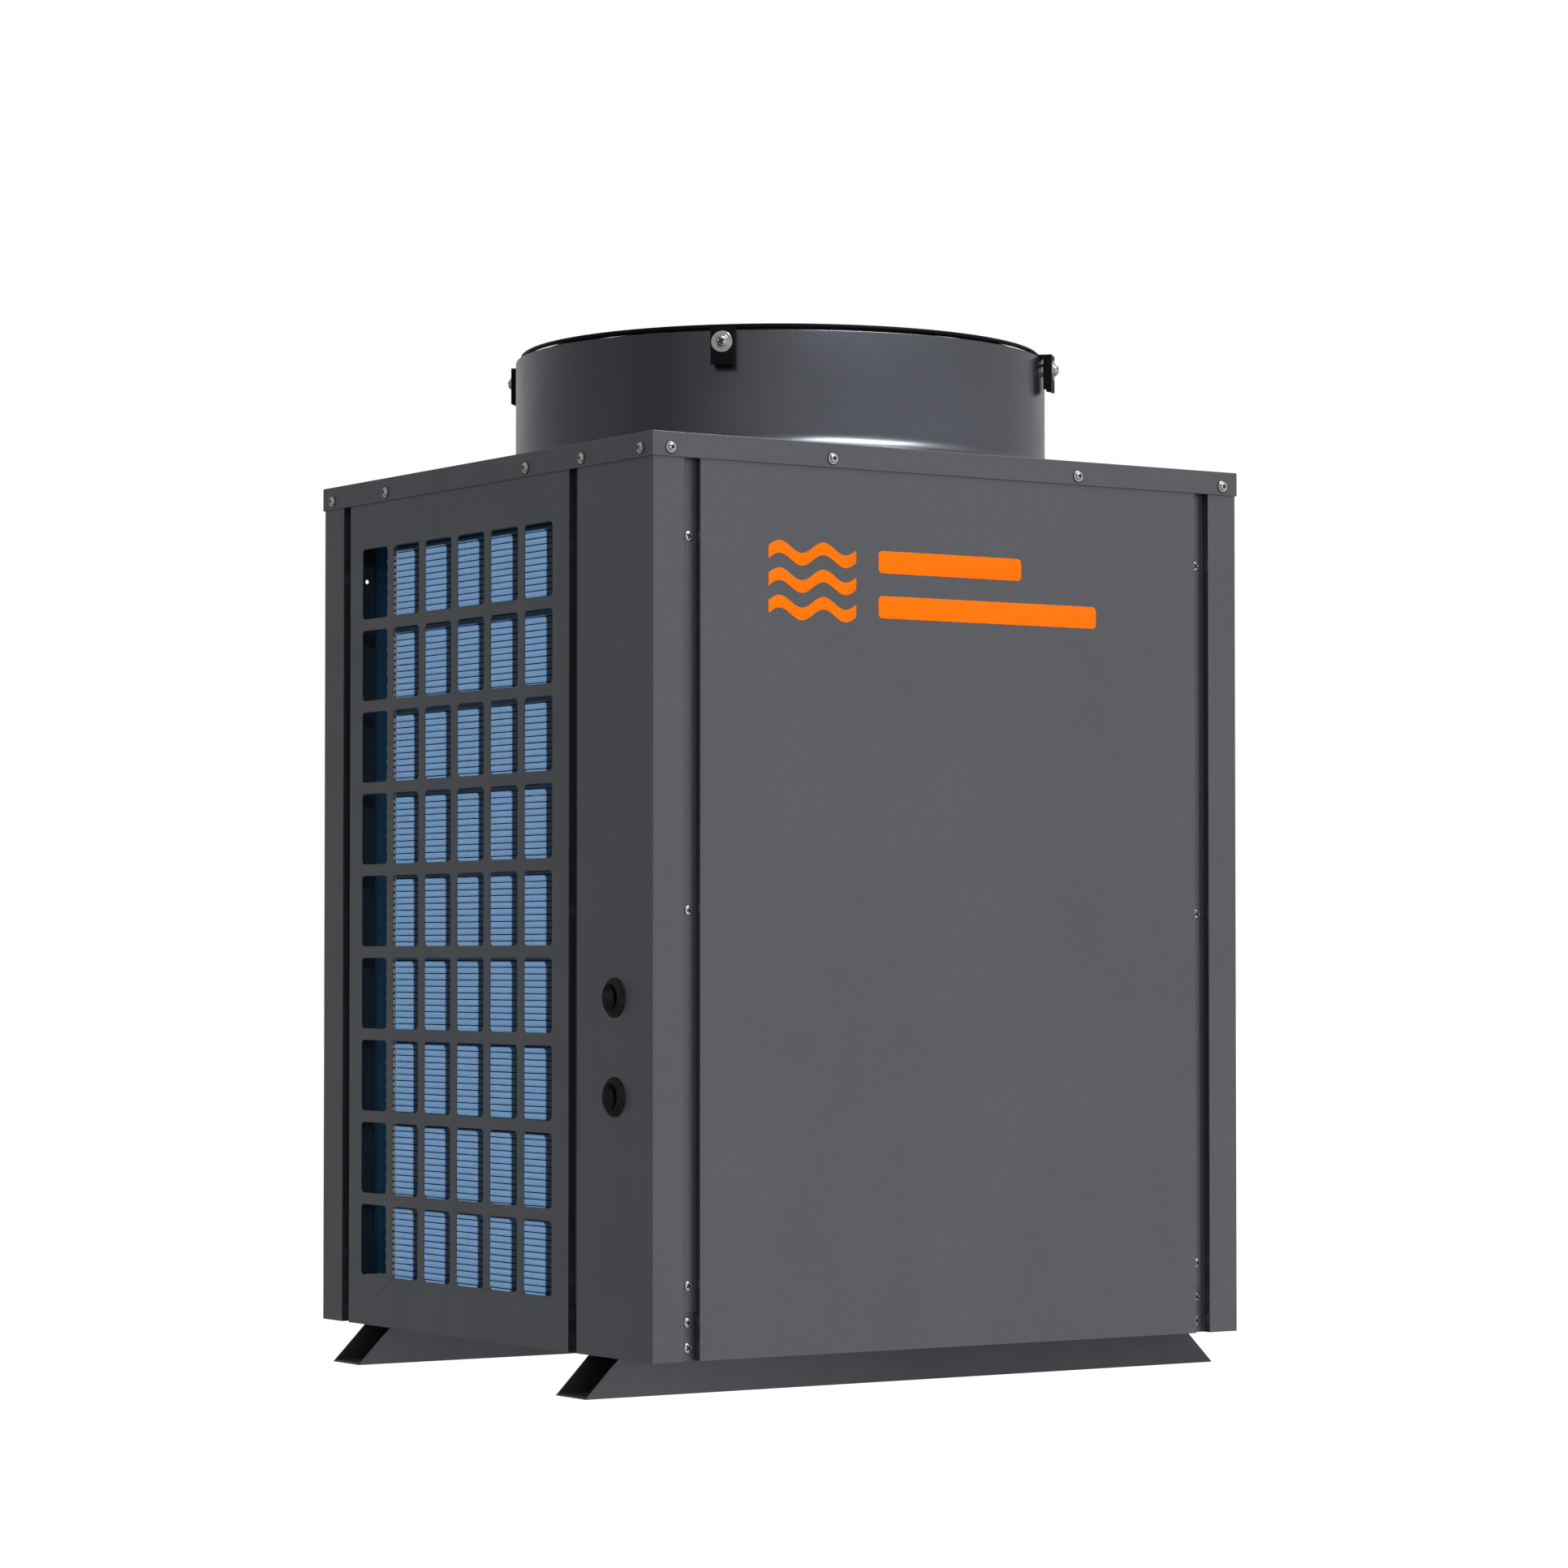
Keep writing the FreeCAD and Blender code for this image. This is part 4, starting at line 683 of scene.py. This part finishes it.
def make_guard_bolts():
    """At each tab a washer, a domed head, a spacer behind the tab, and a shank and nut inside the duct."""
    head_height, washer_height = 5.0 * MM, 2.0 * MM
    gap, tab = 10.3 * MM, 3.0 * MM
    bore, shank_radius = 4.2 * MM, 4.0 * MM
    head = (6.4 * MM, head_height, 1.8 * MM)
    by_angle = {}
    for points in solids_of("guard_bolts"):
        by_angle.setdefault(angle_about_fan(points), []).extend(points)
    places = []
    for angle, points in sorted(by_angle.items()):
        way = way_at(math.radians(angle))
        level = middle_of(points).z
        reach = max((point - fan_axis).dot(way) for point in points)
        places.append(facing(fan_axis + way * reach + Vector((0, 0, level)), way, 0.4 + angle))
    seat = -head_height - washer_height
    wall = seat - tab - gap
    tip = wall - 13 * MM
    spacer = lathe([(bore, wall + 0.1 * MM), (7.5 * MM, wall + 0.1 * MM), (7.5 * MM, wall + gap),
                    (bore, wall + gap)], 32)
    shank = lathe([(0.4 * MM, tip), (3.4 * MM, tip), (shank_radius, tip + 0.8 * MM),
                   (shank_radius, -head_height), (0.4 * MM, -head_height)], 24)
    bolt_set = merged([raised(washer(12.0 * MM, bore, 1.2 * MM), seat),
                       raised(washer(8.2 * MM, bore, 0.9 * MM), seat + 1.15 * MM),
                       raised(domed_head(*head), -head_height), spacer, shank,
                       raised(hexagon_nut(13.0 * MM, 4.05 * MM, 6.5 * MM), wall - 8.3 * MM)])
    corners, faces = copies(bolt_set, places)
    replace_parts(new_piece("guard_bolt_sets", corners, faces, "stainless"), "guard_bolts")
    corners, faces = copies(raised(cross_plug(*head), -head_height), places)
    new_piece("guard_bolt_recesses", corners, faces, "recess")


def make_tab_edges():
    """Each guard tab's two side edges, folded back toward the duct."""
    depth, sheet, slant = 8.8 * MM, 1.6 * MM, 2.5 * MM
    inset = 1.0 * MM
    parts = []
    for points in solids_of("guard_tabs"):
        way = way_at(math.radians(angle_about_fan(points)))
        side = Vector((-way.y, way.x, 0))
        outer = max((point - fan_axis).dot(way) for point in points) - inset
        reach = max(abs((point - fan_axis).dot(side)) for point in points)
        low, high = min(point.z for point in points), max(point.z for point in points) - inset
        for hand in (-1, 1):
            corners = [fan_axis + way * radius + side * across * hand + Vector((0, 0, level))
                       for radius, foot in ((outer - depth, low + slant), (outer, low))
                       for across in (reach - sheet, reach - 0.05 * MM)
                       for level in (foot, high)]
            parts.append((corners, [(0, 1, 3, 2), (4, 6, 7, 5), (0, 4, 5, 1), (2, 3, 7, 6), (0, 2, 6, 4),
                                    (1, 5, 7, 3)]))
    corners, faces = merged(parts)
    new_piece("guard_tab_edges", corners, faces, "black")


# ---------------------------------------------------------------- fan duct and guard

def make_duct():
    """The spun shroud: a foot, a flare, an upright wall and a rim hemmed inward."""
    wall = 314 * MM
    sheet = 1.5 * MM
    flare = 26 * MM
    foot = (duct_high.x - duct_low.x) / 2
    foot_top = deck_level + sheet
    rim = duct_high.z
    steps = 14
    outline = [(foot, deck_level), (foot, foot_top)]
    for k in range(steps + 1):
        turn = math.pi / 2 * (1 - k / steps)
        outline.append((wall + flare - flare * math.cos(turn), foot_top + flare - flare * math.sin(turn)))
    hem = ((0.0, 1.2), (0.5, 0.3), (1.2, 0.0), (2.4, 0.2), (3.0, 1.2), (3.0, 9.0), (1.5, 9.6))
    outline += [(wall - inward * MM, rim - down * MM) for inward, down in hem]
    for k in range(steps + 1):
        turn = math.pi / 2 * k / steps
        outer = flare + sheet
        outline.append((wall + flare - outer * math.cos(turn), foot_top + flare - outer * math.sin(turn)))
    corners, faces = lathe(outline, 288, fan_axis)
    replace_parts(new_piece("fan_shroud", corners, faces, "duct"), "fan_duct")
    seam_angle, seam_half = math.radians(100), 9 * MM
    under, over = wall + flare * 0.02, wall + 0.9 * MM
    seam_low, seam_high = foot_top + flare, rim - 2 * MM
    lap_corners = []
    for side in (-1, 1):
        way = way_at(seam_angle + side * seam_half / wall)
        for radius, height in ((under, seam_low), (over, seam_low), (over, seam_high), (under, seam_high)):
            lap_corners.append(fan_axis + way * radius + Vector((0, 0, height)))
    lap_faces = [(0, 1, 2, 3), (7, 6, 5, 4), (0, 4, 5, 1), (1, 5, 6, 2), (2, 6, 7, 3), (3, 7, 4, 0)]
    new_piece("shroud_lap_seam", lap_corners, lap_faces, "duct")


def wire_ring(radius, wire, level, segments=240, around=10):
    """A closed round wire about the fan's axis."""
    outline = [(radius + across, level + up) for across, up, _ in circle(wire / 2, 0.0, around)]
    return lathe(outline, segments, fan_axis)


def straight_wire(start, end, radius, around=10):
    """A round wire between two points."""
    way = (end - start).normalized()
    side = way.orthogonal().normalized()
    loops = [tube_section(point, side, way.cross(side), radius, around) for point in (start, end)]
    return ring_surface(loops, closed_ends=True)


def make_guard():
    """Dipped wire: a stout rim, thin rings welded on eight spokes, and a pressed disc in the middle."""
    outer = (guard_high.x - guard_low.x) / 2
    rim_wire = guard_high.z - guard_low.z
    rim_level = guard_low.z + rim_wire / 2
    thin, spoke = 3.2 * MM, 2.0 * MM
    pitch = 18 * MM
    disc = 70 * MM
    thin_level = guard_high.z - thin / 2
    parts = [wire_ring(outer - rim_wire / 2, rim_wire, rim_level, 288)]
    radius = outer - rim_wire / 2 - pitch
    while radius > disc + 6 * MM:
        parts.append(wire_ring(radius, thin, thin_level))
        radius -= pitch
    for k in range(8):
        way = way_at(math.radians(45 * k + 22.5))
        level = Vector((0, 0, guard_low.z + spoke))
        parts.append(straight_wire(fan_axis + level + way * (disc - 5 * MM),
                                   fan_axis + level + way * (outer - rim_wire / 2), spoke))
    plate_low = guard_low.z + 0.8 * MM
    pressed = ((69.5, 0.0), (1.0, 0.0), (0.0, 1.0), (0.0, 2.6), (1.0, 3.6), (14.0, 3.6), (18.0, 2.2),
               (69.5, 2.2))
    plate = [(disc - inward * MM, plate_low + up * MM) for inward, up in pressed]
    parts.append(lathe(plate, 96, fan_axis))
    corners, faces = merged(parts)
    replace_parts(new_piece("wire_guard", corners, faces, "black"), "fan_guard")


# ---------------------------------------------------------------- coils

FIN_PITCH = 7.43 * MM
FIN_GAP = 1.05 * MM


def band_profile():
    """One fin band seen from its end: (outward offset, height) points over one pitch, slot first."""
    slot_depth = 5.0 * MM
    soft = 0.12 * MM
    return [(-slot_depth, 0.0), (-slot_depth, FIN_GAP), (-soft, FIN_GAP), (0.0, FIN_GAP + soft),
            (0.0, FIN_PITCH - soft), (-soft, FIN_PITCH)]


def make_fin_pack(node, side, chooser):
    """Rows of narrow blue bands, a little uneven, on both faces of a coil."""
    low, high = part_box(node)
    stations = 26
    bands = int((high.z - low.z) / FIN_PITCH)
    start = low.z + ((high.z - low.z) - bands * FIN_PITCH) / 2
    face_x = {1: high.x, -1: low.x}
    levels = [(band, point, offset, start + FIN_PITCH * band + height)
              for band in range(bands) for point, (offset, height) in enumerate(band_profile())]
    wobble, dent_size, dent_rarity = 0.035 * MM, 0.5 * MM, 2.4
    drift = [[chooser.gauss(0, wobble) for _ in range(bands)] for _ in range(stations)]
    dent = [[max(0.0, chooser.gauss(0, 1) - dent_rarity) * dent_size for _ in range(bands)]
            for _ in range(stations)]
    rings = []
    for station in range(stations):
        y = low.y + (high.y - low.y) * station / (stations - 1)
        ring = []
        for way in (1, -1):
            for band, point, offset, height in (levels if way > 0 else levels[::-1]):
                on_band = point > 1
                shift = drift[station][band] if on_band else 0.0
                push = dent[station][band] if on_band and way == side else 0.0
                ring.append((face_x[way] + (offset - push) * way, y, height + shift))
        rings.append(ring)
    corners, faces = ring_surface(rings)
    total = len(rings[0])
    half = total // 2
    for row in (0, stations - 1):
        base = row * total
        for index in range(half - 1):
            across = total - 1 - index
            faces.append((base + index, base + index + 1, base + across - 1, base + across))
    piece = new_piece(node.replace("_fins", "_fin_pack"), corners, faces, "fins", crease=50.0)
    piece.data.materials.append(coats["slots"])
    deep = 0.8 * MM
    for face in piece.data.polygons:
        inset = min(face.center.x - low.x, high.x - face.center.x)
        if inset > deep:
            face.material_index = 1
    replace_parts(piece, node)


def hairpin(radius, leg, tube, around=8, turns=10):
    """A return bend in the YZ plane whose legs start on y = 0, one above the other."""
    path = [Vector((0, 0, 0))]
    ways = [Vector((0, 1, 0))]
    for k in range(turns + 1):
        angle = math.pi * k / turns
        path.append(Vector((0, leg + radius * math.sin(angle), radius * (1 - math.cos(angle)))))
        ways.append(Vector((0, math.cos(angle), math.sin(angle))))
    path.append(Vector((0, 0, 2 * radius)))
    ways.append(Vector((0, -1, 0)))
    side = Vector((1, 0, 0))
    loops = [tube_section(point, side, way.cross(side), tube, around) for point, way in zip(path, ways)]
    return ring_surface(loops, closed_ends=True)


def make_return_bends():
    """Three staggered columns of plated hairpins on the rear end of each coil."""
    low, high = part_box("return_bends")
    pitch = 2 * FIN_PITCH
    radius = FIN_PITCH / 2
    tube, longer, set_back = 2.9 * MM, 2.5 * MM, 2.0 * MM
    leg = high.y - low.y - radius - tube + longer
    places = []
    for node in ("left_coil_fins", "right_coil_fins"):
        fin_low, fin_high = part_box(node)
        for column, share in enumerate((0.13, 0.42, 0.71)):
            x = fin_low.x + (fin_high.x - fin_low.x) * share
            rows = int((fin_high.z - fin_low.z - 14 * MM) / pitch)
            for row in range(rows):
                z = fin_low.z + 6 * MM + pitch * row + (column % 2) * FIN_PITCH
                places.append(Matrix.Translation((x, low.y - set_back * column, z)))
    corners, faces = copies(hairpin(radius, leg, tube), places)
    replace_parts(new_piece("coil_hairpins", corners, faces, "hairpin"), "return_bends")


# ---------------------------------------------------------------- badge on the front panel

def plate_from_outline(outline, front, thickness):
    """A thin plate with its outline in the XZ plane, standing proud of a face that looks along -Y."""
    back_loop = [(x, front, z) for x, z in outline]
    edge_loop = [(x, front - thickness * 0.7, z) for x, z in outline]
    middle_x = sum(x for x, _ in outline) / len(outline)
    middle_z = sum(z for _, z in outline) / len(outline)
    shrink = 0.997
    top_loop = [(middle_x + (x - middle_x) * shrink, front - thickness, middle_z + (z - middle_z) * shrink)
                for x, z in outline]
    return ring_surface([back_loop, edge_loop, top_loop], closed_ends=True)


def rounded_bar(left, right, low, high, radius, steps=8):
    """Outline of a rectangle with round corners."""
    points = []
    for centre_x, centre_z, first in ((right - radius, high - radius, 0), (left + radius, high - radius, 1),
                                      (left + radius, low + radius, 2), (right - radius, low + radius, 3)):
        for k in range(steps + 1):
            angle = math.pi / 2 * (first + k / steps)
            points.append((centre_x + radius * math.cos(angle), centre_z + radius * math.sin(angle)))
    return points


def wave_band(left, right, level, thickness, swing, steps=40):
    """Outline of a wavy stripe, two crests long."""
    upper, lower = [], []
    for k in range(steps + 1):
        x = left + (right - left) * k / steps
        z = level + swing * math.sin(TAU * 2 * k / steps)
        upper.append((x, z + thickness / 2))
        lower.append((x, z - thickness / 2))
    return lower + upper[::-1]


def make_badge():
    """A plain badge: three waves, and two bars beside them."""
    film, corner, bar_height = 0.35 * MM, 5 * MM, 25 * MM
    wave_left, wave_right, bar_left = -0.252, -0.136, -0.106
    outlines = [wave_band(wave_left, wave_right, level, 14 * MM, 6.5 * MM)
                for level in (0.860, 0.890, 0.920)]
    outlines += [rounded_bar(bar_left, bar_right, low, low + bar_height, corner)
                 for bar_right, low in ((0.090, 0.903), (0.196, 0.853))]
    corners, faces = merged([plate_from_outline(outline, panel_low.y, film) for outline in outlines])
    new_piece("front_badge", corners, faces, "badge")


# ---------------------------------------------------------------- floor, backdrop and lights

def emission_material(name, colour, strength):
    """A plain glow."""
    material = bpy.data.materials.new(name)
    material.use_nodes = True
    tree = material.node_tree
    tree.nodes.clear()
    glow = tree.nodes.new("ShaderNodeEmission")
    glow.inputs["Color"].default_value = (*colour, 1.0)
    glow.inputs["Strength"].default_value = strength
    out = tree.nodes.new("ShaderNodeOutputMaterial")
    tree.links.new(glow.outputs[0], out.inputs["Surface"])
    return material


def floor_material():
    """A white studio floor that keeps only a faint shadow."""
    material = bpy.data.materials.new("studio_floor")
    material.use_nodes = True
    principled = material.node_tree.nodes["Principled BSDF"]
    principled.inputs["Base Color"].default_value = (0.40, 0.40, 0.40, 1.0)
    principled.inputs["Roughness"].default_value = 1.0
    principled.inputs["Specular IOR Level"].default_value = 0.0
    principled.inputs["Emission Color"].default_value = (1.0, 1.0, 1.0, 1.0)
    principled.inputs["Emission Strength"].default_value = 0.975
    return material


def studio_piece(name, part, material):
    """A mesh of the studio around the object, casting no light or shadow on matt surfaces."""
    corners, faces = part
    mesh = bpy.data.meshes.new(name)
    mesh.from_pydata([tuple(corner) for corner in corners], [], faces)
    mesh.materials.append(material)
    thing = bpy.data.objects.new(name, mesh)
    bpy.context.scene.collection.objects.link(thing)
    thing.visible_diffuse = False
    thing.visible_transmission = False
    thing.visible_shadow = False
    return thing


def ball(radius, steps):
    """A great sphere from just above its lowest point to just below its highest."""
    tilts = [math.pi / 2 * (k / steps * 1.98 - 0.99) for k in range(steps + 1)]
    outline = [(radius * math.cos(tilt), radius * math.sin(tilt)) for tilt in tilts]
    return lathe(outline, 96, closed_loop=False)


def make_stage():
    """A pale floor and a white backdrop, seen by the camera only."""
    reach = 40.0
    floor = lathe([(0.01, 0.0), (reach, 0.0)], 96, closed_loop=False)
    studio_piece("floor", floor, floor_material()).visible_glossy = False
    white = emission_material("backdrop_white", (1, 1, 1), 1.0)
    studio_piece("backdrop", ball(reach, 12), white).visible_glossy = False


# How bright the room looks in the paint, by the direction's azimuth in degrees: the front right is a wide
# soft window, the rear is dimmer and the left dimmest.
ROOM = ((-180, 0.20), (-165, 0.30), (-123, 0.70), (-90, 0.84), (-56, 0.87), (-28, 0.80), (22, 0.62),
        (60, 0.60), (92, 0.62), (110, 0.48), (123, 0.42), (140, 0.33), (159, 0.32), (180, 0.22))

# The same by height, from straight down (-1) to straight up (1).
ROOM_HEIGHT = ((-1.0, 0.45), (-0.6, 0.75), (-0.25, 1.0), (0.0, 0.97), (0.2, 0.88), (0.6, 0.75),
               (0.85, 0.95), (1.0, 1.5))

ROOM_RADIUS = 30.0


def set_stops(stops, levels, start, end):
    """Fill a colour ramp with grey levels given at places between start and end."""
    while len(stops) > 1:
        stops.remove(stops[-1])
    for index, (place, level) in enumerate(levels):
        share = (place - start) / (end - start)
        stop = stops[0] if index == 0 else stops.new(share)
        stop.position = share
        stop.color = (level, level, level, 1.0)


def room_material():
    """The room's own light, by azimuth and by height."""
    material = emission_material("room_glow", (1, 1, 1), 1.0)
    tree = material.node_tree
    place = tree.nodes.new("ShaderNodeTexCoord")
    split = tree.nodes.new("ShaderNodeSeparateXYZ")
    tree.links.new(place.outputs["Object"], split.inputs[0])
    azimuth = tree.nodes.new("ShaderNodeMath")
    azimuth.operation = "ARCTAN2"
    tree.links.new(split.outputs["Y"], azimuth.inputs[0])
    tree.links.new(split.outputs["X"], azimuth.inputs[1])
    share = tree.nodes.new("ShaderNodeMapRange")
    share.inputs["From Min"].default_value = -math.pi
    share.inputs["From Max"].default_value = math.pi
    tree.links.new(azimuth.outputs[0], share.inputs["Value"])
    ramp = tree.nodes.new("ShaderNodeValToRGB")
    set_stops(ramp.color_ramp.elements, ROOM, -180, 180)
    tree.links.new(share.outputs["Result"], ramp.inputs[0])
    height = tree.nodes.new("ShaderNodeMapRange")
    height.inputs["From Min"].default_value = -ROOM_RADIUS
    height.inputs["From Max"].default_value = ROOM_RADIUS
    tree.links.new(split.outputs["Z"], height.inputs["Value"])
    fade = tree.nodes.new("ShaderNodeValToRGB")
    set_stops(fade.color_ramp.elements, ROOM_HEIGHT, -1.0, 1.0)
    tree.links.new(height.outputs["Result"], fade.inputs[0])
    glow = next(node for node in tree.nodes if node.type == "EMISSION")
    tree.links.new(ramp.outputs["Color"], glow.inputs["Color"])
    tree.links.new(fade.outputs["Color"], glow.inputs["Strength"])
    material.cycles.emission_sampling = "NONE"
    return material


def make_room():
    """A great sphere that shows only in reflections."""
    studio_piece("room", ball(ROOM_RADIUS, 16), room_material()).visible_camera = False


def link_light(name, kind, power):
    """A light that the camera doesn't see."""
    data = bpy.data.lights.new(name, kind)
    data.energy = power
    light = bpy.data.objects.new(name, data)
    light.visible_camera = False
    bpy.context.scene.collection.objects.link(light)
    return light


def aim(light, way):
    """Turn a light so that it shines along a direction."""
    light.rotation_euler = Vector(way).to_track_quat("-Z", "Y").to_euler()


def make_sun(name, power, spread, way):
    """Parallel light on matt surfaces only."""
    sun = link_light(name, "SUN", power)
    sun.data.angle = math.radians(spread)
    sun.visible_glossy = False
    aim(sun, way)


def make_lamp(name, power, size, place, way):
    """A rectangular lamp."""
    lamp = link_light(name, "AREA", power)
    lamp.data.shape = "RECTANGLE"
    lamp.data.size, lamp.data.size_y = size
    lamp.location = place
    aim(lamp, way)
    return lamp


def make_lights():
    """Low suns from the left and right, a glint on the duct, a lamp inside the cabinet, a dim surround."""
    make_sun("low_sun", power=5.0, spread=1.6, way=(0.390, 0.917, -0.09))
    make_sun("right_fill", power=1.7, spread=18, way=(-1.0, 0.03, -0.28))
    high = Vector((0.52, -1.45, 3.8))
    duct_foot = Vector((fan_axis.x, fan_axis.y, deck_level))
    glint = make_lamp("high_lamp", power=85.0, size=(1.9, 0.8), place=high, way=duct_foot - high)
    glint.visible_diffuse = False
    inner = make_lamp("inner_lamp", power=1.3, size=(0.03, 0.85), place=(-0.27, 0.215, 0.52),
                      way=(-0.3, 1.0, 0.0))
    inner.visible_glossy = False
    world = bpy.data.worlds.new("studio")
    world.use_nodes = True
    background = world.node_tree.nodes["Background"]
    background.inputs["Color"].default_value = (0.95, 0.97, 1.0, 1.0)
    background.inputs["Strength"].default_value = 0.055
    bpy.context.scene.world = world
    bpy.context.scene.view_settings.view_transform = "Standard"


# ---------------------------------------------------------------- the whole scene

make_camera()
make_stage()
make_room()
make_lights()
coat_nodes()
for sheet_node in NODE_COATS["cabinet"] + NODE_COATS["inside_shade"]:
    soften_edges(sheet_node, 0.8 * MM if sheet_node == "top_cover" else 0.45 * MM)
for rail_node in NODE_COATS["rail"]:
    soften_edges(rail_node, 0.5 * MM)
make_screws()
make_guard_bolts()
make_tab_edges()
make_duct()
make_guard()
uneven = random.Random(11)
make_fin_pack("left_coil_fins", -1, uneven)
make_fin_pack("right_coil_fins", 1, uneven)
make_return_bends()
make_badge()
